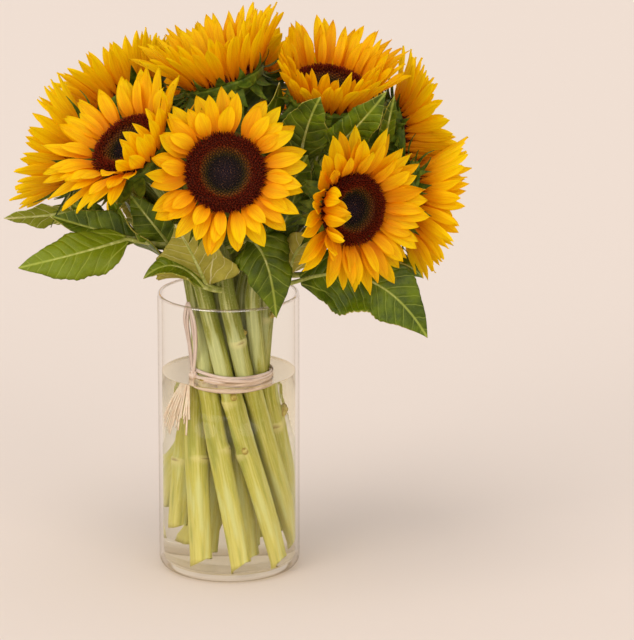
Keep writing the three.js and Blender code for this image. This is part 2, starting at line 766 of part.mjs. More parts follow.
add("vase", vase, looks.glass);
add("water", waterSolid(), looks.water);
add("raffia_tie", tie, looks.raffia);
FLOWERS.forEach((flower, i) => {
  const number = String(i + 1).padStart(2, "0");
  add(`leafy_stem_${number}`, stems[i], looks.green);
  add(`ray_petals_${number}`, rings[i], looks.yellow);
  add(`disc_${number}`, discs[i], looks.brown);
});

export default bouquet;
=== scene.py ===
import random
from collections import namedtuple
from math import atan, cos, degrees, exp, hypot, inf, pi, radians, sin, sqrt, tan
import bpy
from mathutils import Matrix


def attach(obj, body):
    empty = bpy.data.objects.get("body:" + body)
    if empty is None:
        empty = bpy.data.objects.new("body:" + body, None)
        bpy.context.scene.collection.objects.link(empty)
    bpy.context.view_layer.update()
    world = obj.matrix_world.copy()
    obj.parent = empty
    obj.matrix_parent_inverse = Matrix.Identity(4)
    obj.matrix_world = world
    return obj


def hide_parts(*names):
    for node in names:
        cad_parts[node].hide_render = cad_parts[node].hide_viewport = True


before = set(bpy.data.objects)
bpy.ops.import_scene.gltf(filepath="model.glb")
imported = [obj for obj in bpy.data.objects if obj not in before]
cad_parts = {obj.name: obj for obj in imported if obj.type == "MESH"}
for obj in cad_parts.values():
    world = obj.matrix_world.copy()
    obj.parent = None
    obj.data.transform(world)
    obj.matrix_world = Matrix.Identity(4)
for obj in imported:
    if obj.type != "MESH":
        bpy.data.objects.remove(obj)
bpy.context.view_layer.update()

from types import SimpleNamespace

import bmesh
import bpy
from mathutils import Matrix, Vector

# Sizes are worked out in millimetres and given to Blender in metres
MM = 0.001


def put(name, data):
    """Adds an object to the scene."""
    made = bpy.data.objects.new(name, data)
    bpy.context.scene.collection.objects.link(made)
    return made


# Camera, first of all: the photograph's viewing angle, 15.5 degrees above the table
CAMERA_AT = (0.0637, -3.4691, 1.1458)
CAMERA_DOWN = 15.5
FOCAL_LENGTH = 281.5

camera_data = bpy.data.cameras.new("camera")
camera_data.lens = FOCAL_LENGTH
camera = put("camera", camera_data)
camera.location = CAMERA_AT
camera.rotation_euler = (radians(90 - CAMERA_DOWN), 0, 0)
bpy.context.scene.camera = camera
bpy.context.scene.view_settings.view_transform = "Standard"
# Light crosses up to a dozen faces of glass and water on its way to the table under the vase
bpy.context.scene.cycles.transparent_max_bounces = 32

# The same sizes as the solids have
VASE_RADIUS = 51
VASE_HEIGHT = 205
WALL = 3
FLOOR = 5
FOOT_ROUND = 8
INNER_ROUND = 5
WATER_LEVEL = 145

FOOT_STEM_RADIUS = 6.5
EXIT_STEM_RADIUS = 6
NECK_RADIUS = 4.4
CUT_SLANT = 0.55
TIE_HEIGHT = 142
BUNDLE_X = 2
EXIT_HEIGHT = 196
OUTER_SLOT_RADIUS = 21.8
INNER_SLOT_RADIUS = 8.2
OUTER_LEAN = 0.235
INNER_LEAN = 0.1

ROOT_OUT = (2.2, 0.9, 0.2)
ROOT_HEIGHT = (-1.1, 0.9, 2.0)
CALYX_TOP = -3
CALYX_DEPTH = 27
RIM_OVER = 3.4
UPPER_TILT = 17
TILT_STEP = 4
MOST_TILT = 118
CELL_MARGIN = 0.8
STALK_RADIUS = 2.3
# Heads further apart than this are no neighbours
NEIGHBOUR = 150

# One bloom: where its head is and faces, its disc's radius, its petals' length and tilt, its stem's
# place in the tie in degrees and the height of its cut end, how much more its lower petals rise, its
# share of the room between heads, and whether its stem is in the middle of the bundle
Flower = namedtuple("Flower", "at face disc petal tilt slot cut nod hold inner", defaults=(0, 1, False))
FLOWERS = [
    Flower((0, -95, 316), (0.05, -0.93, 0.37), 27.5, 30, 3, 300, 14, hold=1.5),
    Flower((-68, -66, 327), (-0.5, -0.42, 0.76), 26.5, 37, 16, 260, 11),
    Flower((88, -78, 286), (0.56, -0.83, 0.07), 25, 34, 12, 340, 30, hold=1.1),
    Flower((-4, -4, 366), (-0.3, 0, 0.954), 27, 41, 52, 250, 11, hold=1.1, inner=True),
    Flower((72, -14, 356), (0.14, -0.33, 0.93), 26.5, 39, 34, 10, 13, nod=24, inner=True),
    Flower((-107, 4, 305), (-0.94, 0.2, 0.26), 24, 40, 50, 220, 11),
    Flower((-71, 52, 336), (-0.42, 0.5, 0.75), 24, 36, 50, 180, 12),
    Flower((123, 30, 313), (0.97, 0.24, 0.03), 24, 37, 14, 60, 13, nod=68),
    Flower((131, -22, 279), (0.94, 0.13, -0.28), 24, 37, 42, 20, 18),
    Flower((70, 92, 300), (0.55, 0.8, 0.24), 25.5, 36, 20, 100, 40),
    Flower((-56, 104, 290), (-0.4, 0.9, 0.17), 26, 36, 18, 140, 28, hold=1.1),
    Flower((8, 72, 344), (0.06, 0.66, 0.75), 25.5, 36, 24, 130, 12, inner=True),
]

# One leaf: the blade's base, the middle of its bow and its tip, its width, fold and upward direction,
# and how pale it is
Leaf = namedtuple("Leaf", "base bow tip width fold up pale", defaults=(0.0,))
LEAVES = [
    Leaf((-70, -50, 257), (-107, -62, 249), (-147, -62, 239), 38, 0.12, (-0.2, -0.75, 0.62), pale=1),
    Leaf((-62, -40, 254), (-93, -42, 262), (-125, -40, 271), 24, 0.5, (0.1, -0.7, 0.7)),
    Leaf((-111, -2, 265), (-134, -4, 262.4), (-160, -6, 261), 22, 0.1, (0, 0.85, 0.5), pale=1),
    Leaf((-15, -46, 223), (-24, -62, 249), (-36, -58, 270), 60, 0.15, (0.1, 0.85, 0.5)),
    Leaf((-17, -50, 222), (-37, -60, 240), (-59, -58, 230), 24, 0.3, (0, -0.6, 0.8), pale=0.5),
    Leaf((15, -48, 256), (28, -66, 244), (35, -62, 202), 40, 0.3, (0.1, -0.95, 0.3)),
    Leaf((52, -40, 224), (102, -62, 229), (142, -60, 187), 56, 0.1, (0.1, -0.85, 0.5)),
    Leaf((112, -10, 230), (127, -12, 228), (140, -12, 218), 18, 0.1, (0, -0.5, 0.85)),
    Leaf((52, -38, 311), (57, -58, 340), (66, -69, 364), 34, 0.2, (-0.15, -0.95, 0.25)),
    Leaf((67, -40, 312), (89, -68, 340), (112, -82, 371), 28, 0.25, (0.35, -0.9, 0.3)),
    Leaf((110, -28, 315), (114, -44, 340), (118, -51, 361), 11, 0.2, (0.2, -0.95, 0.2)),
    Leaf((45, -40, 230), (50, -54, 250), (64, -52, 263), 24, 0.2, (0.2, 0.8, 0.55)),
    Leaf((-39, -30, 245), (-53, -46, 268), (-68, -44, 287), 28, 0.2, (-0.3, -0.85, 0.4)),
    Leaf((-84, -20, 252), (-97, -31, 268), (-112, -31, 279), 22, 0.2, (-0.2, -0.6, 0.75)),
    Leaf((-52, 44, 246), (-92, 78, 259), (-128, 96, 233), 40, 0.15, (-0.2, 0.5, 0.85)),
    Leaf((12, 52, 236), (16, 88, 247), (22, 112, 205), 44, 0.15, (0, 0.5, 0.86)),
    Leaf((62, 44, 240), (104, 76, 256), (136, 92, 222), 40, 0.15, (0.1, 0.5, 0.85)),
    Leaf((44, -38, 291), (50, -46, 304), (57, -50, 318), 28, 0.2, (-0.3, -0.9, 0.2)),
    Leaf((90, 10, 250), (120, 20, 247), (150, 34, 227), 28, 0.2, (0.2, 0.1, 0.95)),
]

# Small leaves deep among the heads, each given by its tip: they close the gaps between the blooms
INNER_TIPS = [
    (25, 18, 346), (-22, 40, 340), (-24, -55, 326), (23, -38, 334), (88, 36, 314), (50, 50, 324),
    (7, 89, 302), (-40, 76, 314), (-80, -3, 314), (-48, -6, 332), (50, -64, 300), (100, -20, 318),
    (14, -28, 322), (-6, -62, 300), (-84, -46, 292), (30, -8, 344), (-70, -24, 288), (-80, -22, 296),
    (50, -24, 276), (60, -30, 272), (37.5, -27, 365), (64, -38, 312), (40, -14, 322), (-84, 56, 292),
    (96, 60, 284), (8, 100, 270),
]
for x, y, z in INNER_TIPS:
    LEAVES.append(Leaf((0.42 * x, 0.42 * y, z - 62), (0.78 * x, 0.78 * y, z - 34), (x, y, z), 30, 0.2,
                       (x, y, 0.3 * hypot(x, y))))


# Colours and materials
def linear(code):
    """An sRGB hex colour as the linear colour that Blender works in."""
    channels = [int(code[k:k + 2], 16) / 255 for k in (1, 3, 5)]
    return [c / 12.92 if c <= 0.04045 else ((c + 0.055) / 1.055) ** 2.4 for c in channels] + [1]


def sort(name, take=0, slots=range(9), **settings):
    """A sort of node: its name, the output that is taken from it, the inputs that its values go to in
    order, and its settings."""
    return name, take, slots, settings


BLADE = sort("UVMap", uv_map="blade")
PLACE = sort("TexCoord", "Object")
TONE, RING = (sort("Attribute", "Fac", attribute_name=name) for name in ("tone", "ring"))
ALONG, ACROSS, UPWARD = (sort("SeparateXYZ", axis) for axis in range(3))
EASE = sort("MapRange", interpolation_type="SMOOTHSTEP")
# A mix of colours takes them at its inputs 6 and 7 and gives its outcome at output 2
MIX = sort("Mix", 2, (0, 6, 7), data_type="RGBA")
ADD, TIMES, MINUS, OVER, SIZE, PART, MOST, POWER, PAST = (sort("Math", operation=name) for name in (
    "ADD", "MULTIPLY", "SUBTRACT", "DIVIDE", "ABSOLUTE", "FRACT", "MAXIMUM", "POWER", "GREATER_THAN"))


class Finish:
    """A material under construction, or the world."""

    def __init__(self, name, kept_in=bpy.data.materials):
        self.owner = kept_in.new(name)
        self.owner.use_nodes = True
        self.tree = self.owner.node_tree
        self.tree.nodes.clear()

    def node(self, kind, *values, **inputs):
        """Adds a node, by its name or sort, with its settings and links, and gives one of its outputs.
        The first inputs come in order, the rest by name. A text is a colour, and stops are a ramp's
        (position, colour) pairs."""
        name, take, slots, settings = kind if isinstance(kind, tuple) else sort(kind)
        made = self.tree.nodes.new("ShaderNode" + name)
        for name, value in settings.items():
            if name == "stops":
                band = made.color_ramp.elements
                band[0].position, band[1].position = value[0][0], value[-1][0]
                band[0].color, band[1].color = linear(value[0][1]), linear(value[-1][1])
                for position, code in value[1:-1]:
                    band.new(position).color = linear(code)
            else:
                setattr(made, name, value)
        named = [(name.replace("_", " "), value) for name, value in inputs.items()]
        for slot, value in [*zip(slots, values), *named]:
            if hasattr(value, "links"):
                self.tree.links.new(value, made.inputs[slot])
            else:
                made.inputs[slot].default_value = linear(value) if isinstance(value, str) else value
        return made.outputs[take] if len(made.outputs) else self.owner

    def tint(self, body, measure, low, high, share, colour):
        """Lays a colour over body, by up to the given share, as a measure goes from low to high."""
        over = self.node(EASE, measure, low, high, 0.0, share)
        return self.node(MIX, over, body, colour)


def petal_finish():
    """Ray petal: thin satin yellow tissue, orange at its root, partly its own colour and partly painted
    shade where the petals crowd about the disc, with fine pleats that run its length. The UV map runs
    from root to tip and from edge to edge."""
    finish = Finish("sunflower ray petal")
    node, tint = finish.node, finish.tint
    uv, tone = node(BLADE), node(TONE)
    along = node(ALONG, uv)
    # Veins lie about 0.7 mm apart across a 14 mm petal
    stretched = node("Mapping", uv, Scale=(1.1, 20, 1))
    streaks = node("TexNoise", stretched, Scale=1.0, Detail=3.0, Roughness=0.6)
    patches = node("TexNoise", uv, Scale=3.0)
    # The deep orange over the lower third of the petal is partly painted shade near the disc
    body = node(sort("ValToRGB", stops=(
        (0.0, "#c85400"), (0.14, "#e37800"), (0.34, "#f8a400"), (0.58, "#ffca00"), (1.0, "#ffdc00"))),
        along)
    body = tint(body, streaks, 0.44, 0.7, 0.75, "#e58600")
    middle = node(SIZE, node(MINUS, node(ACROSS, uv), 0.5))
    body = tint(body, middle, 0.14, 0.0, 0.35, "#ea9000")
    # Fresh petals turn lemon yellow towards the tip, old ones are orange; a bloom's freshness is partly
    # painted light, raised where the bloom stands in shade
    fresh = node(EASE, tone, 0.4, 1.0, 0.0, 0.45)
    body = node(MIX, node(TIMES, fresh, along), body, "#ffe600")
    body = tint(body, tone, 0.35, 0.0, 0.4, "#e88c00")
    colour = tint(body, patches, 0.5, 0.75, 0.3, "#f5a200")
    relief = node("Bump", Height=streaks, Distance=0.3 * MM, Strength=0.7)
    surface = node("BsdfPrincipled", colour, Roughness=0.55, Normal=relief, Specular_IOR_Level=0.12)
    glow = node("BsdfTranslucent", node(MIX, 0.6, colour, "#ffbe00"))
    return node("OutputMaterial", node("MixShader", 0.36, surface, glow))


def blade_finish(name, dark, bright, vein, strength, roughness, gloss):
    """Leaf blade: waxy green with pale veins, one rib and side veins 7 to 9 mm apart that curve on
    towards the edge. The UV map is in centimetres along the rib and out from it."""
    node = Finish(name).node
    uv, place, pale = node(BLADE), node(PLACE), node(TONE)
    along = node(ADD, node(ALONG, uv), node("TexNoise", place, Scale=55.0))
    out = node(SIZE, node(ACROSS, uv))
    lean = node(TIMES, out, 0.75)
    curve = node(TIMES, node(TIMES, out, out), 0.12)
    start = node(MINUS, node(MINUS, along, lean), curve)
    step = node(PART, node(OVER, start, 0.9))
    step = node(SIZE, node(MINUS, step, 0.5))
    side = node(EASE, step, 0.045, 0.0, 0.0, 0.8)
    rib = node(EASE, out, 0.12, 0.03)
    # Two more main veins leave the rib near its base
    second = node(SIZE, node(MINUS, out, node(TIMES, along, 0.5)))
    second = node(TIMES, node(EASE, second, 0.07, 0.02), node(EASE, along, 3.6, 1.6))
    veins = node(MOST, second, node(MOST, side, rib))
    net = node(EASE, node(sort("TexVoronoi", feature="DISTANCE_TO_EDGE"), uv, Scale=9.0), 0.07, 0.0)
    mottle = node("TexNoise", place, Scale=70.0, Detail=4.0, Roughness=0.6)
    mottle = node(EASE, mottle, 0.34, 0.68)
    colour = node(MIX, mottle, dark, bright)
    for measure, share, over in ((pale, 0.75, "#7c8a04"), (net, 0.13, vein), (veins, strength, vein)):
        colour = node(MIX, node(TIMES, measure, share), colour, over)
    pillow = node(EASE, step, 0.0, 0.3)
    height = node(MINUS, pillow, node(TIMES, net, 0.08))
    height = node(ADD, height, node(TIMES, node("TexNoise", place, Scale=120.0, Detail=2.0), 2.0))
    relief = node("Bump", Height=height, Distance=0.6 * MM, Strength=0.7)
    surface = node("BsdfPrincipled", colour, Roughness=roughness, Normal=relief, Specular_IOR_Level=gloss)
    glow = node("BsdfTranslucent", "#8aa008")
    return node("OutputMaterial", node("MixShader", 0.16, surface, glow))


def stalk_finish():
    """Stem: rough ribbed green skin, paler and yellower near the cut end, with long streaks, broad pale
    patches that are painted highlights, small warts where its bristles stand and a browned collar at
    each node, which its attribute marks. The UV map runs along the stem in centimetres and round it."""
    finish = Finish("sunflower stem skin")
    node = finish.node
    uv, place, collar = node(BLADE), node(PLACE), node(TONE)
    # Streaks about 1 mm wide and 30 mm long, warts about 0.6 mm across
    stretched = node("Mapping", uv, Scale=(0.3, 26, 1))
    streaks = node("TexNoise", stretched, Scale=1.0, Detail=3.0, Roughness=0.65)
    warts = node("TexNoise", place, Scale=1400.0, Detail=1.0)
    clouds = node("TexNoise", node("Mapping", uv, Scale=(0.16, 5, 1)), Scale=1.0, Detail=2.0)
    colour = node(sort("ValToRGB", stops=(
        (0.0, "#d2c76e"), (0.3, "#bfb84e"), (0.55, "#a6a03a"), (0.72, "#858529"), (1.0, "#66721a"))),
        node("MapRange", node(UPWARD, place), 0.0, 0.26))
    # Of the clouds, the dark green ones are the skin's mottling and the pale ones are painted highlights
    for measure, low, high, share, over in (
            (streaks, 0.44, 0.7, 0.5, "#e0da92"), (streaks, 0.42, 0.28, 0.4, "#717a1c"),
            (clouds, 0.5, 0.68, 0.5, "#77851f"), (clouds, 0.5, 0.36, 0.5, "#d5dba2"),
            (warts, 0.6, 0.74, 0.35, "#e2dca0"), (collar, 0.4, 0.9, 0.6, "#ddd291"),
            (collar, 0.88, 0.99, 0.7, "#8a6428")):
        colour = finish.tint(colour, measure, low, high, share, over)
    grain = node(ADD, streaks, node(TIMES, warts, 0.4))
    relief = node("Bump", Height=grain, Distance=0.6 * MM, Strength=0.7)
    surface = node("BsdfPrincipled", colour, Roughness=0.5, Normal=relief, Specular_IOR_Level=0.3)
    return node("OutputMaterial", surface)


def plain_finish(name, colours, scale, roughness, relief, fibres=None):
    """A finish with soft clouds of a few colours, their size given by scale. Where fibres gives how
    many there are to a centimetre along and once round, the clouds are drawn out into them."""
    node = Finish(name).node
    place = node("Mapping", node(BLADE), Scale=fibres) if fibres else node(PLACE)
    clouds = node("TexNoise", place, Scale=scale, Detail=3.0, Roughness=0.6)
    stops = [(0.3 + 0.4 * k / (len(colours) - 1), code) for k, code in enumerate(colours)]
    colour = node(sort("ValToRGB", stops=stops), clouds)
    bumps = node("Bump", Height=clouds, Distance=relief * MM, Strength=0.6)
    surface = node("BsdfPrincipled", colour, Roughness=roughness, Normal=bumps, Specular_IOR_Level=0.25)
    return node("OutputMaterial", surface)


def floret_finish():
    """Disc florets: matt brown tubes. Their own attribute gives their place from the disc's middle
    out: purple-black buds, an olive ring with yellow pollen, and red-brown open florets."""
    finish = Finish("sunflower disc florets")
    node = finish.node
    ring, tip = node(RING), node(TONE)
    # Pollen grains drawn at 0.5 mm, as coarse as they need to show
    specks = node("TexNoise", node(PLACE), Scale=1700.0, Detail=1.0)
    base = node(sort("ValToRGB", stops=(
        (0.0, "#1e1018"), (0.4, "#150d0a"), (0.48, "#261d06"), (0.6, "#4c2606"), (0.7, "#4c1002"),
        (1.0, "#3a0901"))), ring)
    tips = node(sort("ValToRGB", stops=(
        (0.0, "#33202c"), (0.38, "#261a18"), (0.49, "#4c3c0e"), (0.6, "#8a5410"), (0.72, "#862806"),
        (1.0, "#6e1803"))), ring)
    colour = finish.tint(base, tip, 0.35, 1.0, 1.0, tips)
    colour = finish.tint(colour, specks, 0.64, 0.74, 0.55, "#b87a4a")
    surface = node("BsdfPrincipled", colour, Roughness=0.7, Specular_IOR_Level=0.12)
    return node("OutputMaterial", surface)


def film_finish(name, clear, edge, least, shine, power):
    """A clear wall too thin to bend what is behind it: it darkens a little and mirrors the room where
    it is seen edge on."""
    node = Finish(name).node
    grazing = node(POWER, node(sort("LayerWeight", "Facing"), 0.5), power)
    straight = node("BsdfTransparent", node(MIX, grazing, clear, edge))
    mirror = node("BsdfGlossy", Color=(1, 1, 1, 1), Roughness=0.0)
    share = node("MapRange", grazing, To_Min=least, To_Max=shine)
    return node("OutputMaterial", node("MixShader", share, straight, mirror))


def water_finish():
    """Water: it bends what is seen through it and lets the light pass straight to what it holds. A
    ray that has turned twice in it goes straight on, so that none is lost in it."""
    node = Finish("water").node
    clear = node("BsdfPrincipled", "#fdfbef", Roughness=0.0, IOR=1.33, Transmission_Weight=1.0)
    lamp_ray = node(MOST, node(sort("LightPath", "Is Shadow Ray")),
                    node(sort("LightPath", "Is Diffuse Ray")))
    passing = node(MOST, lamp_ray, node(PAST, node(sort("LightPath", "Ray Depth")), 1.5))
    straight = node("BsdfTransparent", "#fdfaf0")
    return node("OutputMaterial", node("MixShader", passing, clear, straight))


PETAL = petal_finish()
LEAF_TOP = blade_finish("sunflower leaf upper side", "#3f5102", "#6a7c04", "#b4bc4c", 0.7, 0.36, 0.24)
LEAF_UNDER = blade_finish("sunflower leaf under side", "#a09636", "#b8ac46", "#e9e0a2", 0.85, 0.6, 0.12)
STALK = stalk_finish()
# Leaf stalks and ribs: pale green cords with a soft down
RIB = plain_finish("leaf stalk", ["#8d953a", "#adb157", "#cfd08c"], 220, 0.55, 0.2)
# Bracts: hairy green leaves of the cup under the petals
BRACT = plain_finish("sunflower bract", ["#37480a", "#52650e", "#76841e"], 180, 0.6, 0.3)
# Cut pith: pale spongy tissue, browned a little by the air
PITH = plain_finish("cut stem pith", ["#b7a15a", "#d2c288", "#8a6a34"], 400, 0.8, 0.3)
# Scar wood: dry brown skin where a leaf was cut off
SCAR = plain_finish("cut leaf stub", ["#8a6d33", "#b5a04c", "#cfc378"], 500, 0.75, 0.3)
FLORET = floret_finish()
# Raffia: split dry palm leaf, pale pink-tan and a little glossy, its fibres 0.4 mm wide
RAFFIA = plain_finish("dyed raffia ribbon", ["#b5937f", "#dec2b1", "#eed9cc", "#fbf0ea"], 1, 0.5, 0.7,
                      (0.5, 17, 1))
# Its frayed ends are thin soaked fibres, nearly as pale as the room behind them
WISP = plain_finish("soaked raffia fibre", ["#ecd0bc", "#f3dfcf", "#f8ebe0"], 300, 0.5, 0.1)
GLASS = film_finish("soda-lime glass", "#fefefd", "#cfc4b8", 0.006, 0.6, 8.0)
GLASS_INSIDE = film_finish("inner side of the glass", "#fefefd", "#e6ddd3", 0.0, 0.25, 8.0)
# The foot is cast thick, so its lower edge looks darker
FOOT = film_finish("thick glass foot", "#fdfbf8", "#ae9c7c", 0.01, 0.5, 2.6)
# The lip is melted round, so it gathers the room's light in thin lines
LIP = film_finish("fire-polished glass lip", "#f3ece4", "#6f6458", 0.25, 1.0, 2.5)
WATER = water_finish()
WATER_TOP = film_finish("still water surface", "#fbf7ea", "#f3ecd6", 0.03, 0.9, 3.0)
WATER_ON_GLASS = film_finish("water against the glass floor", "#fbf9f0", "#f4eedc", 0.0, 0.1, 4.0)


# Making meshes
# Vertices nearer than this are made one
MERGE = 0.02 * MM
# The share of a path over which its direction is taken
LOOK = 0.01


def weld(bm, verts=None):
    """Joins the vertices that lie in one place."""
    bmesh.ops.remove_doubles(bm, verts=verts or bm.verts, dist=MERGE)


def patch(bm, columns, rows, point, tone=0.0, slot=0, uv=None, closed=False):
    """A grid laid over a surface: point(u, v) gives each vertex's place in millimetres, u along its
    columns and v across its rows, both from 0 to 1. A closed one is joined along v."""
    blade, shade = bm.loops.layers.uv["blade"], bm.verts.layers.float["tone"]
    verts = bmesh.ops.create_grid(bm, x_segments=columns, y_segments=rows, size=1)["verts"]
    where = {}
    for vert in verts:
        u, v = where[vert] = (vert.co.x + 1) / 2, (vert.co.y + 1) / 2
        vert.co = Vector(point(u, v)) * MM
        vert[shade] = tone(u, v) if callable(tone) else tone
    for face in {face for vert in verts for face in vert.link_faces}:
        face.smooth = True
        face.material_index = slot
        for loop in face.loops:
            loop[blade].uv = uv(*where[loop.vert]) if uv else where[loop.vert]
    if closed:
        weld(bm, [vert for vert in verts if not 1e-4 < where[vert][1] < 1 - 1e-4])


def polar(r, angle, z=0.0):
    """The point at a radius, an angle in radians and a height."""
    return Vector((r * cos(angle), r * sin(angle), z))


def heading(path, t):
    """The direction of a path at t."""
    return (path(min(1, t + LOOK)) - path(max(0, t - LOOK))).normalized()


def tube(bm, path, radius, sides, rings, tone=0.0, slot=0, caps=None, cut=0.0):
    """A tube along path(t), its radius given by radius(t, angle). Caps close its ends where their
    finish is given, and cut slants its start."""
    steep = abs((path(2 * LOOK) - path(0)).normalized().z) > 0.9
    across = Vector((1, 0, 0)) if steep else Vector((0, 0, 1))
    frames, length, last = [], 0.0, path(0)
    for k in range(rings + 1):
        here, ahead = path(k / rings), heading(path, k / rings)
        across = (across - ahead * across.dot(ahead)).normalized()
        length += (here - last).length
        last = here
        frames.append((here, across, ahead.cross(across), length))

    def point(u, v):
        here, side, other, _ = frames[round(u * rings)]
        angle = 2 * pi * v
        size = radius(u, angle)
        spot = here + side * (size * cos(angle)) + other * (size * sin(angle))
        if u == 0:
            spot.z += cut * (spot - here).x
        return spot

    before = set(bm.edges)
    patch(bm, rings, sides, point, tone=tone, slot=slot, closed=True,
          uv=lambda u, v: (frames[round(u * rings)][3] / 10, v))
    if caps is not None:
        rims = [edge for edge in bm.edges if edge not in before and edge.is_boundary]
        for face in bmesh.ops.holes_fill(bm, edges=rims, sides=0)["faces"]:
            face.material_index = caps


def sheet_mesh():
    """An empty mesh under construction, with the layers that the finishes read."""
    bm = bmesh.new()
    bm.loops.layers.uv.new("blade")
    bm.verts.layers.float.new("tone")
    bm.verts.layers.float.new("ring")
    return bm


def as_mesh(name, bm):
    """The mesh that was under construction, as Blender keeps it."""
    mesh = bpy.data.meshes.new(name)
    bm.to_mesh(mesh)
    bm.free()
    return mesh


def piece(name, bm, finishes, slot, replaced=()):
    """The finished mesh as a piece that rides on the part and takes the place of its solids."""
    made = put(name, as_mesh(name, bm))
    for finish in finishes:
        made.data.materials.append(finish)
    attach(made, "root")
    if replaced:
        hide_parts(*replaced)
    return made


def bezier(a, b, c, d=None):
    """A function of t along a quadratic or cubic curve through its control points."""
    if d is None:
        return lambda t: a * (1 - t) ** 2 + b * (2 * t * (1 - t)) + c * t * t
    return lambda t: (a * (1 - t) ** 3 + b * (3 * t * (1 - t) ** 2) + c * (3 * t * t * (1 - t))
                      + d * t ** 3)


# Where each head stands, and the room it has among its neighbours
class Head:
    """A bloom's own frame: out along its facing, and two directions across it."""

    def __init__(self, entry):
        self.at = Vector(entry.at)
        self.out = Vector(entry.face).normalized()
        side = Vector((1, 0, 0)) if abs(self.out.z) > 0.95 else -self.out.cross(Vector((0, 0, 1)))
        self.side = (side - self.out * side.dot(self.out)).normalized()
        self.over = self.out.cross(self.side)

    def place(self, azimuth, r, aside, z):
        """The point at r from the head's axis, towards an azimuth round it, that far aside, z out."""
        c, w = cos(azimuth), sin(azimuth)
        return (self.at + self.side * (r * c - aside * w) + self.over * (r * w + aside * c)
                + self.out * z)

    def matrix(self):
        columns = Matrix((self.side, self.over, self.out)).transposed()
        return Matrix.Translation(self.at * MM) @ columns.to_4x4()


HEADS = [Head(entry) for entry in FLOWERS]


def cell(i):
    """Planes between a head and its neighbours, which its petals and bracts stay inside."""
    planes = []
    for j, other in enumerate(HEADS):
        apart = other.at - HEADS[i].at
        if i == j or apart.length > NEIGHBOUR:
            continue
        share = FLOWERS[i].hold / (FLOWERS[i].hold + FLOWERS[j].hold)
        planes.append((HEADS[i].at + apart * share, apart.normalized()))
    return planes


CELLS = [cell(i) for i in range(len(FLOWERS))]


def outside(i, point):
    """How far a point is past the nearest of a head's planes; under 0 is inside them all."""
    return max((point - through).dot(away) for through, away in CELLS[i]) + CELL_MARGIN


# Ray petals, in an outer, an upper and an inner row of small spoon-shaped ones
PETAL_ROWS = (20, 18, 11)
PETAL_WIDTHS = (13.6, 13.0, 12.0)
PETAL_LENGTHS = (1.0, 0.9, 0.72)
PETAL_TILTS = (0, UPPER_TILT, 25)
PETAL_COLUMNS = 12
PETAL_ACROSS = 10
# A petal's mesh starts this share of its length before its root, sunk in the cup
SUNK = 0.1
# A petal is widest at this share of its length
WIDEST = 0.45
# Neighbours shorten a petal to no less than this, in millimetres
LEAST_LENGTH = 10
FRONT = Vector((0, -0.96, 0.27))
ROLL = radians(34)
# How broad each bloom's petals are, beside the front one's: narrow ones are more
BREADTHS = (0.88, 0.78, 0.76, 0.68, 0.64, 0.68, 0.66, 0.66, 0.66, 0.76, 0.76, 0.76)
# How fresh each bloom is: fresh petals are lemon yellow towards their tips, old ones orange. The
# values are partly painted light: the sixth to the ninth blooms, which stand in shade, are made fresher
# and so lighter, and the fifth, in full light, is made older and darker
FRESHNESS_AND_PAINTED_LIGHT = (0.05, 0.15, -0.05, 0.1, -0.3, 0.6, 0.4, 0.5, 0.2, 0, 0, 0)
# Petals that curl in over their disc: bloom, azimuth, spread to each side, and how far they tilt.
# They arch by CURL_ARCH, and none tilts further than CURL_MOST
CURLED = {1: (-4, 36, 122), 2: (175, 50, 122)}
CURL_ARCH = -55
CURL_MOST = 150


def petal_width(u, blunt):
    """The share of its full width that a petal has at u: narrow at its root, round at its tip."""
    if u < WIDEST:
        return 0.34 + 0.66 * sin(pi * max(u, -SUNK) / (2 * WIDEST))
    return 1 - ((u - WIDEST) / (1 - WIDEST)) ** blunt


def petal_point(i, petal, u, s, lift=0.0):
    """A point of a petal: u from root to tip, s from edge to edge, lifted along its own normal."""
    start = radians(petal.tilt + petal.arch / 2)
    turn = radians(-petal.arch if abs(petal.arch) >= 1 else 1)
    now = start + turn * u
    run = petal.length / turn
    row = petal.row
    r = FLOWERS[i].disc + ROOT_OUT[row] + run * (sin(now) - sin(start))
    z = ROOT_HEIGHT[row] + run * (cos(start) - cos(now))
    half = s * petal_width(u, petal.blunt) * petal.width / 2
    twist = petal.twist * u
    rise = lift + half * sin(twist)
    half = half * cos(twist) + petal.bend * u * u
    radial, height = r - rise * sin(now), z + rise * cos(now)
    return HEADS[i].place(petal.azimuth, radial, half, height)


def seat_petal(i, petal):
    """Lifts and curls a petal towards its disc, as a neighbour presses it, until it is clear."""
    def crosses():
        return any(outside(i, petal_point(i, petal, u, s)) > 0
                   for u in (0.3, 0.55, 0.8, 1.0) for s in (-1, 0, 1))

    while crosses() and petal.tilt < petal.most:
        petal.tilt += TILT_STEP
        petal.arch -= 0.8 * TILT_STEP
    while crosses() and petal.length > LEAST_LENGTH:
        petal.length *= 0.93


def face_out(i, petal):
    """Twists a petal that stands edge on to the front a little way round, as real ones roll."""
    here, ahead = petal_point(i, petal, 0.5, 0), petal_point(i, petal, 0.7, 0)
    across = petal_point(i, petal, 0.5, 1) - here
    normal = (ahead - here).cross(across).normalized()
    edge_on = 1 - min(1, abs(normal.dot(FRONT)) / 0.6)
    petal.twist += ROLL * edge_on * (1 if across.dot(FRONT) * normal.dot(FRONT) < 0 else -1)


def relief(petal, u, s):
    """How far a petal's surface rises: a trough along it, ribs, and a wavy edge near its tip."""
    edge = abs(s) ** 2
    trough = petal.camber * edge * (0.5 + 0.9 * max(0.0, 1 - 2.2 * u) + 0.9 * max(0.0, u - 0.7))
    ribs = 0.34 * cos(4 * pi * s) * sin(pi * min(1, max(0, u))) ** 0.5
    wave = petal.wave * edge * sin(7 * u + petal.phase + (1.5 if s > 0 else 0))
    return trough + ribs + wave


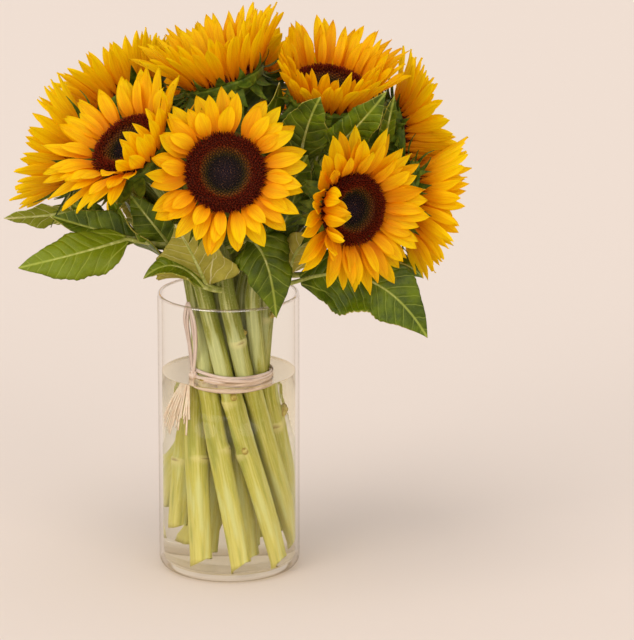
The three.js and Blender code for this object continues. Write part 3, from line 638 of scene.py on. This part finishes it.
def ray_petals(i):
    """One bloom's ring of petals, no two of them alike."""
    entry = FLOWERS[i]
    draw = random.Random(900 + i).random
    bm = sheet_mesh()
    curl_at, curl_spread, curl_tilt = CURLED.get(i, (0, 0, 0))
    for row, most in enumerate(PETAL_ROWS):
        spoon = row == 2
        count = round(most / BREADTHS[i])
        for k in range(count):
            azimuth = (k + 0.5 * row + 0.6 * (draw() - 0.5)) / count * 2 * pi
            nod = entry.nod * (1 - sin(azimuth)) / 2
            size = PETAL_LENGTHS[row] * (0.88 + 0.2 * draw())
            petal = SimpleNamespace(
                row=row, azimuth=azimuth,
                tilt=entry.tilt + nod + PETAL_TILTS[row] + 14 * (draw() - 0.5),
                most=MOST_TILT - (UPPER_TILT, 0, 0)[row],
                arch=(13 + 14 * draw()) + (2 + 30 * draw() if spoon else -3 * row),
                length=entry.petal * size,
                width=PETAL_WIDTHS[row] * BREADTHS[i] * (0.84 + 0.28 * draw()),
                blunt=(2.6 if spoon else 2.0) + 1.2 * draw(),
                camber=-0.9 + 2.4 * draw() if spoon else 0.9 + 1.0 * draw(),
                twist=radians(40 * (draw() - 0.5)),
                bend=7 * (draw() - 0.5),
                wave=0.3 + 0.7 * draw(), phase=6 * draw(),
            )
            off = (degrees(azimuth) - curl_at + 180) % 360 - 180
            if abs(off) < curl_spread and row > 0:
                share = cos(radians(90 * off / curl_spread)) ** 0.5 * (0.7 + 0.4 * draw())
                petal.tilt += (curl_tilt - 20 * (2 - row) - petal.tilt) * share
                petal.arch = CURL_ARCH * share
                petal.most = CURL_MOST
            seat_petal(i, petal)
            face_out(i, petal)
            # A petal's tone: drawn at random and shifted by its bloom's freshness, which is partly
            # painted light
            shade = min(1, max(0, draw() + FRESHNESS_AND_PAINTED_LIGHT[i]))

            def point(u, v, petal=petal):
                u, s = -SUNK + (1 + SUNK) * u, 2 * v - 1
                return petal_point(i, petal, u, s, relief(petal, u, s))

            patch(bm, PETAL_COLUMNS, PETAL_ACROSS, point, tone=shade)
    weld(bm)
    piece(f"rays_{i + 1:02d}", bm, [PETAL], "yellow", [f"ray_petals_{i + 1:02d}"])


# Discs of florets
FLORETS = 620
GOLDEN_ANGLE = pi * (3 - sqrt(5))
# Once round, near enough for a turn that is drawn at random
ANY_TURN = 6.28
STANDARD_DISC = 26
# The florets are open from this share of the disc's radius outwards
OPEN_FROM = 0.66
# The outer ones lean outwards from this share on
FLARE_FROM = 0.86


def disc_height(f):
    """The height of a disc's surface at a share f of its radius: a ring about a shallow dimple."""
    rim = 1 - max(0.0, (f - FLARE_FROM) / (1 - FLARE_FROM)) ** 2
    ring = 4.6 * exp(-((f - 0.78) / 0.24) ** 2)
    core = 1.6 * exp(-(f / 0.3) ** 2)
    return 1.4 + (ring + core) * max(0.25, rim)


def open_floret(draw):
    """An open floret: four thin pointed lobes and styles that spread from one root."""
    bm = sheet_mesh()
    tone = bm.verts.layers.float["tone"]
    for k in range(4):
        turn = (k + draw()) * pi / 2
        lean = 0.28 + 0.3 * draw()
        height = 3.0 + 1.0 * draw()
        foot = Matrix.Rotation(turn, 4, "Z") @ Matrix.Rotation(lean, 4, "Y")
        made = bmesh.ops.create_cone(
            bm, cap_ends=True, segments=3, radius1=0.55 * MM, radius2=0.12 * MM, depth=height * MM,
            matrix=foot @ Matrix.Translation((0, 0, height * MM / 2 - 0.4 * MM)))["verts"]
        for vert in made:
            vert[tone] = 1.0 if vert.co.z > 1.2 * MM else 0.0
    return bm


def bud_floret():
    """A floret still in bud: a small five-sided dome."""
    bm = sheet_mesh()
    tone = bm.verts.layers.float["tone"]
    made = bmesh.ops.create_cone(bm, cap_ends=True, segments=5, radius1=0.85 * MM, radius2=0.4 * MM,
                                 depth=1.5 * MM)["verts"]
    tops = [vert for vert in made if vert.co.z > 0]
    top_faces = [face for face in bm.faces if all(vert in tops for vert in face.verts)]
    for vert in bmesh.ops.poke(bm, faces=top_faces)["verts"]:
        vert.co.z += 0.35 * MM
    for vert in bm.verts:
        vert[tone] = 1.0 if vert.co.z > 0 else 0.0
    return bm


def stamp(bm, template, matrix, ring, zone):
    """Adds a copy of a small mesh, turned and placed by the matrix."""
    known = len(bm.verts)
    bm.from_mesh(template)
    bm.verts.ensure_lookup_table()
    for vert in bm.verts[known:]:
        vert.co = matrix @ vert.co
        vert[zone] = ring


def disc_mesh(seed):
    """A standard disc, its florets laid out in a sunflower's spirals, facing up at the origin."""
    source = random.Random(seed)
    draw = source.random
    opens = [as_mesh("floret", open_floret(draw)) for _ in range(5)]
    bud = as_mesh("floret", bud_floret())
    bm = sheet_mesh()
    zone = bm.verts.layers.float["ring"]

    def base(u, v):
        f = min(1.0, u * 1.04)
        drop = -3.2 if u > 0.97 else 0.0
        return polar(STANDARD_DISC * f, 2 * pi * v, disc_height(f) - 1.0 + drop)

    patch(bm, 16, 32, base, closed=True)
    for vert in bm.verts:
        vert[zone] = min(1.0, vert.co.xy.length / (STANDARD_DISC * MM))
    weld(bm)
    # Read back from a mesh, so that each stamp's vertices come last in the list
    ground = as_mesh("disc ground", bm)
    bm = bmesh.new()
    bm.from_mesh(ground)
    zone = bm.verts.layers.float["ring"]
    for k in range(FLORETS):
        f = sqrt((k + 0.5) / FLORETS)
        angle = k * GOLDEN_ANGLE
        slope = (disc_height(min(1, f + 0.02)) - disc_height(max(0, f - 0.02))) / (0.04 * STANDARD_DISC)
        lean = -atan(slope) * 0.7
        turn = Matrix.Rotation(angle, 4, "Z")
        lay = Matrix.Translation(polar(STANDARD_DISC * f * 0.99 * MM, angle, (disc_height(f) - 0.3) * MM))
        if f > OPEN_FROM:
            flare = 0.5 * max(0.0, (f - FLARE_FROM) / (1 - FLARE_FROM))
            size = 0.85 + 0.35 * draw()
            spin = Matrix.Rotation(ANY_TURN * draw(), 4, "Z")
            matrix = lay @ turn @ Matrix.Rotation(lean + flare, 4, "Y") @ spin @ Matrix.Scale(size, 4)
            template = source.choice(opens)
        else:
            size = (0.62 + 0.5 * f) * (0.85 + 0.3 * draw())
            matrix = lay @ turn @ Matrix.Rotation(lean, 4, "Y") @ Matrix.Scale(size, 4)
            template = bud
        stamp(bm, template, matrix, f, zone)
    return as_mesh("disc", bm)


DISC_MESHES = [disc_mesh(seed) for seed in (31, 32, 33)]


def disc(i):
    """One bloom's disc: a standard one, turned, scaled to its radius and placed on its head."""
    bm = bmesh.new()
    bm.from_mesh(DISC_MESHES[i % len(DISC_MESHES)])
    scale = FLOWERS[i].disc / STANDARD_DISC
    turned = Matrix.Rotation(1.3 * i, 4, "Z") @ Matrix.Diagonal((scale, scale, 1, 1))
    bmesh.ops.transform(bm, matrix=HEADS[i].matrix() @ turned, verts=bm.verts)
    piece(f"florets_{i + 1:02d}", bm, [FLORET], "brown", [f"disc_{i + 1:02d}"])


# Stems, cups and bracts
def stem_line(i):
    """The straight part of a stem, as a function of height, and the direction it runs in."""
    entry = FLOWERS[i]
    radius = INNER_SLOT_RADIUS if entry.inner else OUTER_SLOT_RADIUS
    lean = INNER_LEAN if entry.inner else OUTER_LEAN
    angle = radians(entry.slot)
    tie = Vector((BUNDLE_X + radius * cos(angle), radius * sin(angle), TIE_HEIGHT))
    along = Vector((lean * sin(angle), -lean * cos(angle), 1))
    return (lambda z: tie + along * (z - TIE_HEIGHT)), along.normalized()


def stem_curve(i):
    """The curve of a stem from the bundle to its head."""
    line, along = stem_line(i)
    start = line(EXIT_HEIGHT)
    end = HEADS[i].place(0, 0, 0, CALYX_TOP - CALYX_DEPTH + 5)
    reach = (end - start).length
    return bezier(start, start + along * (reach * 0.42), end - HEADS[i].out * (reach * 0.36), end)


# How far the feet of some stems stray from the even sheaf
FEET = {0: (-1.5, 11, 2), 1: (5.5, 5, -2), 5: (3.5, 0, 0), 6: (1, -2.5, 1), 9: (-6, 3, 0), 10: (2, 3, 4)}
# Stems that are stouter than the rest
STOUT = {1: 1.05, 5: 1.06, 6: 1.14}
# Blooms whose upper bracts stand off their petals
LOOSE = (5, 6)
STEM_SIDES, STEM_RINGS = 28, 170
# How far a node's swelling reaches above and below it
SWELL_ABOVE, SWELL_BELOW = 1.6, 7
# The stub of a cut leaf: how far from the stem's middle it starts, its least reach and its radius
STUB_ROOT, STUB_REACH, STUB_RADIUS = 3.5, 8.2, 2.7
# The rows of bracts, from the lowest to the one close under the petals: how many, their tilt, how far
# under the rim they grow, and their length and width. The last row's tilt is from its petals' tilt
BRACT_ROWS = ((13, -30, 1.5, 25, 10.5), (13, -42, 4.0, 25, 10.5), (12, -34, 0.8, 19, 9))
CURVES = [stem_curve(i) for i in range(len(FLOWERS))]


def stem_path(i):
    """A stem from its cut end to its head, as a function from 0 to 1; its length; and the share of
    it that is straight."""
    line, curve = stem_line(i)[0], CURVES[i]
    tie = line(TIE_HEIGHT)
    foot = line(FLOWERS[i].cut) + Vector(FEET.get(i, (0, 0, 0)))
    straight = (line(EXIT_HEIGHT) - foot).length
    total = straight + (curve(1) - curve(0)).length * 1.08
    share = straight / total

    def path(t):
        if t > share:
            return curve((t - share) / (1 - share))
        height = foot.z + (EXIT_HEIGHT - foot.z) * t / share
        if height > TIE_HEIGHT:
            return line(height)
        return foot.lerp(tie, (height - foot.z) / (TIE_HEIGHT - foot.z))

    return path, total, share


def stalk(bm, i, draw):
    """A ribbed stem with three nodes, and stubs of cut leaves on two of them."""
    path, total, share = stem_path(i)
    nodes = [(0.07 + 0.27 * k + 0.26 * draw(), ANY_TURN * draw()) for k in range(3)]
    ribs, spin = 4 + i % 3, ANY_TURN * draw()
    stout = STOUT.get(i, 1)

    def swellings(t, angle, swing):
        offs = [((t - at) * total, cos(angle - turn)) for at, turn in nodes]
        return [exp(-(off / (SWELL_ABOVE if off > 0 else SWELL_BELOW)) ** 2) * (0.6 + swing * towards)
                for off, towards in offs]

    def radius(t, angle):
        if t < share:
            size = FOOT_STEM_RADIUS + (EXIT_STEM_RADIUS - FOOT_STEM_RADIUS) * t / share
        else:
            size = EXIT_STEM_RADIUS + (NECK_RADIUS - EXIT_STEM_RADIUS) * (t - share) / (1 - share)
        rib = 0.14 * (abs(cos((ribs * angle + spin) / 2)) - 0.6) + 0.02 * cos(2 * ribs * angle)
        return size * stout * (1 + rib) + sum(swellings(t, angle, 0.6))

    def collar(t, v):
        return max(swellings(t, ANY_TURN * v, 0.4))

    tube(bm, path, radius, STEM_SIDES, STEM_RINGS, tone=collar, caps=1, cut=CUT_SLANT)
    for at, turn in nodes[:2]:
        here = path(at)
        ahead = (path(at + LOOK) - here).normalized()
        away = ahead.cross(polar(1, turn)).normalized()
        start = here + away * STUB_ROOT
        end = here + away * (STUB_REACH + 1.5 * draw()) + ahead * (3.5 + 2 * draw())
        tube(bm, lambda t, a=start, b=end: a.lerp(b, t), lambda t, angle: STUB_RADIUS - 0.8 * t, 10, 3,
             slot=2, caps=2)


def cup(bm, i):
    """The cup: it widens from the neck to the rim under the petals, and closes over the disc's root."""
    rim = FLOWERS[i].disc + RIM_OVER
    profile = [(NECK_RADIUS, CALYX_TOP - CALYX_DEPTH), (NECK_RADIUS + 3.4, CALYX_TOP - CALYX_DEPTH + 8),
               (0.66 * rim, CALYX_TOP - 12), (0.95 * rim, CALYX_TOP - 5), (rim, CALYX_TOP),
               (rim * 0.9, CALYX_TOP + 1), (0, CALYX_TOP + 1)]

    def point(u, v):
        place = u * (len(profile) - 1)
        k = min(int(place), len(profile) - 2)
        (r0, z0), (r1, z1) = profile[k], profile[k + 1]
        part = place - k
        return HEADS[i].place(2 * pi * v, r0 + (r1 - r0) * part, 0, z0 + (z1 - z0) * part)

    patch(bm, 18, 26, point, slot=3, closed=True)


def seat_bract(i, bract):
    """Presses a bract back where a neighbour is near; gives a function of the points along it."""
    root = FLOWERS[i].disc - 1

    def point(u, s, lift=0.0):
        tilt = radians(bract.tilt + 24 * u + bract.curl * u * u)
        r = root + bract.length * u * cos(tilt) - lift * sin(tilt)
        z = bract.height + bract.length * u * sin(tilt) + lift * cos(tilt)
        half = s * bract.width / 2 * (1 - max(0, u) ** 1.6) ** 1.2 + bract.bend * u * u
        return HEADS[i].place(bract.azimuth, r, half, z)

    def free():
        return all(outside(i, point(u, 0)) < 0 for u in (0.6, 1.0))

    while not free() and bract.tilt > -80:
        bract.tilt -= TILT_STEP
    while not free() and bract.length > 9:
        bract.length *= 0.9
    return point


def bracts(bm, i, draw):
    """Bracts in three rows, broad at the root and drawn out to a thin tip."""
    for row, (count, tilt, under, length, width) in enumerate(BRACT_ROWS):
        close = row == 2
        loose = close and i in LOOSE
        for k in range(count):
            bract = SimpleNamespace(
                azimuth=(k + 0.5 * row + 0.3 * (draw() - 0.5)) / count * 2 * pi,
                tilt=tilt + FLOWERS[i].tilt * close - 14 * loose + 10 * (draw() - 0.5),
                curl=(-22 if close else -6) + 30 * draw(),
                length=(length + 13 * loose) * (0.8 + 0.35 * draw()),
                width=width, height=CALYX_TOP - under, bend=6 * (draw() - 0.5))
            at = seat_bract(i, bract)

            def point(u, v, at=at):
                s = 2 * v - 1
                return at(-0.12 + 1.12 * u, s, 0.9 * s * s - 0.4 * abs(s) ** 0.5)

            patch(bm, 10, 4, point, tone=draw(), slot=3)


def leafy_stem(i):
    """One stem with its cup and bracts. Its leaves are pieces of their own."""
    draw = random.Random(700 + i).random
    bm = sheet_mesh()
    stalk(bm, i, draw)
    cup(bm, i)
    bracts(bm, i, draw)
    weld(bm)
    piece(f"stem_{i + 1:02d}", bm, [STALK, PITH, SCAR, BRACT], "green", [f"leafy_stem_{i + 1:02d}"])


# Leaves, in millimetres: thickness, length of edge to a tooth, and space between side veins
LEAF_THICK = 0.75
TOOTH = 5
VEIN = 8
# The share of a leaf stalk's mesh that is the stalk; the rest runs on under the blade as its rib, up
# to the share RIB_END of the blade's length
FREE = 0.4
RIB_END = 0.93


def leaf_width(u):
    """The share of its full width that a leaf has at u: widest at 0.3."""
    if u < 0.3:
        return 0.15 + 0.85 * sin(pi * u / 0.6)
    return cos(pi / 2 * ((u - 0.3) / 0.7) ** 1.3)


def nearest_stem(base):
    """The point of the stem that passes nearest under a leaf's base."""
    best, where = inf, None
    for curve in CURVES:
        for k in range(48):
            point = curve(k * 0.02)
            cost = (point - base).length + 2 * max(0, point.z + 8 - base.z)
            if cost < best:
                best, where = cost, point
    return where


def leaf_blade(number, entry):
    """A leaf: a bowed blade with a toothed, uneven edge that swells between its veins."""
    draw = random.Random(40 + number).random
    base, middle, tip = (Vector(point) for point in entry[:3])
    bow = middle * 2 - base * 0.5 - tip * 0.5
    rib = bezier(base, bow, tip)
    up = Vector(entry.up).normalized()
    length = sum((rib(k / 20) - rib((k - 1) / 20)).length for k in range(1, 21))
    teeth = max(8, round(length / TOOTH))
    waves = 2 + draw()
    phase = 6 * draw()
    curls = [-0.25 + 0.7 * draw() for _ in range(2)]
    bm = sheet_mesh()

    def frame_at(u):
        ahead = heading(rib, u)
        across = ahead.cross(up).normalized()
        return rib(u), across, across.cross(ahead)

    def half(u):
        saw = (u * teeth) % 1
        tooth = 1 + 0.055 * saw * min(1, 4 * (1 - u)) * min(1, 5 * u)
        uneven = 1 + 0.07 * sin(15 * u + phase) + 0.03 * sin(31 * u + 2 * phase)
        return entry.width / 2 * leaf_width(u) * tooth * uneven * 0.96

    def point(u, v):
        here, across, normal = frame_at(u)
        s = 1 - 2 * v
        reach = half(u)
        out = abs(s) * reach
        rise = entry.fold * out - 0.012 * out * out
        rise += 0.13 * reach * abs(s) ** 3 * sin(2 * pi * waves * u + phase + (2 if s > 0 else 0))
        rise += curls[s > 0] * reach * s ** 4 * sin(pi * u)
        start = u * length - 0.75 * out
        rise += 0.45 * abs(sin(pi * (start / VEIN + 0.5))) * min(1, 0.25 * out) * (1 - abs(s) ** 4)
        return here + across * (s * reach) + normal * rise

    def blade_uv(u, v):
        return (u * length / 10, (1 - 2 * v) * half(u) / 10)

    patch(bm, 3 * teeth, 16, point, tone=entry.pale, uv=blade_uv)
    weld(bm)
    made = piece(f"leaf_{number + 1:02d}", bm, [LEAF_TOP, LEAF_UNDER], "green")
    thick = made.modifiers.new("thickness", "SOLIDIFY")
    thick.thickness = LEAF_THICK * MM
    thick.offset = -1
    thick.material_offset = 1
    thick.material_offset_rim = 1
    leaf_stalk(number, base, frame_at)


def leaf_stalk(number, base, frame_at):
    """A leaf's stalk, from the nearest stem to the blade, under which it runs on as its rib."""
    bm = sheet_mesh()
    root = nearest_stem(base)
    sag = root.lerp(base, 0.5) + Vector((0, 0, -0.08 * (root - base).length))
    free = bezier(root, sag, base)

    def path(t):
        if t < FREE:
            return free(t / FREE)
        u = (t - FREE) / (1 - FREE) * RIB_END
        here, _, normal = frame_at(u)
        return here - normal * (0.5 * min(1, 8 * u))

    def radius(t, angle):
        if t < FREE:
            return STALK_RADIUS * (1 - 0.35 * t / FREE) * (1 + 0.06 * cos(3 * angle))
        return STALK_RADIUS * 0.65 * (1 - (t - FREE) / (1 - FREE)) ** 0.8 + 0.12

    tube(bm, path, radius, 10, 36, caps=0)
    piece(f"leaf_stalk_{number + 1:02d}", bm, [RIB], "green")


# Raffia
KNOT = Vector((-25.4, -14.8, 147))
TIE_INNER = OUTER_SLOT_RADIUS + EXIT_STEM_RADIUS + 0.9
# Each ribbon round the bundle: its height, how many degrees it slopes, and how far out it lies
WRAPS = ((148.6, 3.0, 0.0), (139.2, -1.5, 0.5), (136.6, 1.2, 0.2), (146.2, 0.6, 0.5),
         (144.2, 3.2, 0.2), (134.6, -0.6, 0.4))
# The two loops: three points that each ribbon passes after the knot, and half its width and thickness
LOOPS = (
    ((-28, -16, 170), (-31, -17, 190), (-28.5, -18, 202), 1.2, 0.3),
    ((-27, -17, 168), (-29, -18, 187), (-27.5, -18.6, 200), 1.1, 0.25),
    ((-23, -21.5, 170), (-24, -22, 188), (-28.5, -18, 202), 1.2, 0.3),
    ((-24, -20, 168), (-25.5, -21, 186), (-27.5, -18.6, 200), 1.1, 0.25),
)
ENDS = 26
# Half the width and half the thickness of the ribbon, of the knot's turns and of a loose end
BAND, TIGHT, FIBRE = (1.5, 0.35), (1.3, 0.7), (0.7, 0.16)


def flat(wide, thick):
    """The radius of a flat ribbon's section, half as wide and half as thick as given, for tube."""
    return lambda t, angle: 1 / hypot(cos(angle) / wide, sin(angle) / thick)


def wrap(bm, height, slope, extra):
    """One ribbon, once round the bundle."""
    def path(t):
        angle = 2 * pi * t
        r = TIE_INNER + 0.5 + extra + 0.35 * sin(5 * angle + height)
        x = BUNDLE_X + r * cos(angle)
        z = height - (x - BUNDLE_X) * tan(radians(slope)) + 0.5 * sin(3 * angle + slope)
        return Vector((x, r * sin(angle), z))

    tube(bm, path, flat(*BAND), 10, 90)


def knot_turn(bm, tilt):
    """One of the knot's tight turns."""
    def path(t):
        angle = 2 * pi * t
        level = Vector((2.5 * cos(angle), 2.1 * sin(angle), 0.5 * sin(2 * angle)))
        return KNOT + Matrix.Rotation(tilt, 3, "Y") @ level

    tube(bm, path, flat(*TIGHT), 10, 28)


def loop_path(a, b, c):
    """A smooth curve from the knot that passes through three points."""
    points = [KNOT, Vector(a), Vector(b), Vector(c)]

    def path(t):
        k = min(2, int(t * 3))
        part = t * 3 - k
        before, after = points[max(0, k - 1)], points[min(3, k + 2)]
        p, q = points[k], points[k + 1]
        return 0.5 * ((2 * p) + (q - before) * part
                      + (2 * before - 5 * p + 4 * q - after) * part ** 2
                      + (3 * p - before - 3 * q + after) * part ** 3)

    return path


def raffia():
    """The tie: ribbons round the bundle, a knot, two loops and a fan of loose ends under water."""
    draw = random.Random(77).random
    bm = sheet_mesh()
    for height, slope, extra in WRAPS:
        wrap(bm, height, slope, extra)
    for tilt in (0.2, 1.1, 1.9, 2.7):
        knot_turn(bm, tilt)
    for a, b, c, wide, thick in LOOPS:
        tube(bm, loop_path(a, b, c), flat(wide, thick), 8, 20, caps=0)
    for k in range(ENDS):
        spread = k / (ENDS - 1)
        end = Vector((-46 + 19 * spread + 3 * draw(), -8 - 20 * spread + 2 * draw(),
                      100 + 16 * draw() + 8 * abs(spread - 0.5)))
        middle = Vector((-25 - 9 * (1 - spread) - 2 * draw(), -14.6 - 6 * spread, 129))
        curve = bezier(KNOT, Vector((-25, -15, 140)), middle, end)
        tube(bm, curve, flat(*FIBRE), 8, 20, slot=1, caps=1)
    piece("raffia_ribbon", bm, [RAFFIA, WISP], "raffia", ["raffia_tie"])


# Vase and water
TURNS = 96


def turned(name, profile, finishes, slot, replaced, which):
    """A profile of (radius, height) turned about the vase's axis into a closed smooth body; which
    gives the number of a face's finish."""
    bm = bmesh.new()
    verts = [bm.verts.new((r * MM, 0, z * MM)) for r, z in profile]
    edges = [bm.edges.new(pair) for pair in zip(verts, verts[1:])]
    bmesh.ops.spin(bm, geom=verts + edges, cent=(0, 0, 0), axis=(0, 0, 1), dvec=(0, 0, 0),
                   angle=2 * pi, steps=TURNS, use_merge=True)
    bmesh.ops.remove_doubles(bm, verts=bm.verts, dist=0.01 * MM)
    bmesh.ops.recalc_face_normals(bm, faces=bm.faces)
    for face in bm.faces:
        face.smooth = True
        face.material_index = which(face)
    piece(name, bm, finishes, slot, replaced)


def arc(r, z, radius, start, end, steps):
    """Points of a profile along an arc about (r, z), from one angle to another in degrees."""
    angles = [radians(start + (end - start) * k / steps) for k in range(steps + 1)]
    return [(r + radius * cos(a), z + radius * sin(a)) for a in angles]


def vase():
    """The glass cylinder: a rounded foot, a melted lip and an inner floor that curves into its wall."""
    outer = [(0, 0), (VASE_RADIUS - FOOT_ROUND - 1, 0)]
    outer += arc(VASE_RADIUS - FOOT_ROUND, FOOT_ROUND, FOOT_ROUND, -90, 0, 10)
    outer += [(VASE_RADIUS, 60), (VASE_RADIUS, 120), (VASE_RADIUS, 180)]
    lip = arc(VASE_RADIUS - WALL / 2, VASE_HEIGHT - WALL / 2, WALL / 2, 0, 180, 10)
    inside = VASE_RADIUS - WALL
    inner = [(inside, 180), (inside, 120), (inside, 60)]
    inner += arc(inside - INNER_ROUND, FLOOR + INNER_ROUND, INNER_ROUND, 0, -90, 8)
    inner += [(inside - INNER_ROUND - 1, FLOOR), (0, FLOOR)]

    def which(face):
        middle = face.calc_center_median()
        r, z = middle.xy.length / MM, middle.z / MM
        if z > VASE_HEIGHT - WALL / 2:
            return 1
        if r < VASE_RADIUS - WALL + 0.5 and z > FLOOR - 1:
            return 2
        return 3 if z < 0.5 * FOOT_ROUND and r > 0.8 * VASE_RADIUS else 0

    turned("glass_cylinder", outer + lip + inner, [GLASS, LIP, GLASS_INSIDE, FOOT], "glass", ["vase"],
           which)


def water():
    """The water. It reaches a little into the glass, so that no film of air shows between the two."""
    into = 0.15
    wall = VASE_RADIUS - WALL
    inside = wall + into
    bottom = arc(inside - INNER_ROUND, FLOOR + INNER_ROUND - into, INNER_ROUND, -90, 0, 8)
    side = [(inside, 60), (inside, 100), (inside, WATER_LEVEL + 1.6)]
    # The surface curves up by about 1.6 mm where it meets the glass
    rise = [(wall - 0.3, WATER_LEVEL + 0.9), (wall - 1.2, WATER_LEVEL + 0.3), (wall - 3, WATER_LEVEL)]
    profile = [(0, FLOOR - into), (inside - INNER_ROUND - 1, FLOOR - into)] + bottom + side + rise
    turned("clear_water", profile + [(0, WATER_LEVEL)], [WATER, WATER_TOP, WATER_ON_GLASS], "water",
           ["water"], lambda face: 1 if face.normal.z > 0.5 else 2 * (face.normal.z < -0.5))


vase()
water()
raffia()
for index in range(len(FLOWERS)):
    leafy_stem(index)
    ray_petals(index)
    disc(index)
for index, entry in enumerate(LEAVES):
    leaf_blade(index, entry)
for mesh in [m for m in bpy.data.meshes if m.users == 0]:
    bpy.data.meshes.remove(mesh)

# Table and light
bm = bmesh.new()
bmesh.ops.create_grid(bm, x_segments=1, y_segments=1, size=20)
paint = Finish("matt paint").node
table_top = put("table_top", as_mesh("table_top", bm))
table_top.data.materials.append(paint("OutputMaterial", paint(
    "BsdfPrincipled", "#e6d6ca", Roughness=0.9, Specular_IOR_Level=0.1)))

# The room is as pale as the table where glass and water mirror it, and lights the rest more softly
room = Finish("studio", bpy.data.worlds).node
mirrored, backdrop = room("Background", "#eedfd3", 1.0), room("Background", "#fafcff", 0.735)
bpy.context.scene.world = room("OutputWorld", room(
    "MixShader", room(sort("LightPath", "Is Diffuse Ray")), mirrored, backdrop))

# Large soft lights: their power, the direction that each shines from, and how wide it looks
for name, energy, at, spread in (
        ("key", 0.64, (-0.7, -0.85, 2.4), 38), ("left softbox", 0.88, (-2.1, -2.3, 1.3), 38),
        ("right softbox", 0.55, (1.8, -2.4, 1.5), 34), ("front fill", 0.3, (0.2, -3.0, 1.0), 40)):
    lamp = bpy.data.lights.new(name, "SUN")
    lamp.energy = energy
    lamp.color = linear("#fffaf3")[:3]
    lamp.angle = radians(spread)
    put(name, lamp).rotation_euler = (-Vector(at)).to_track_quat("-Z", "Y").to_euler()
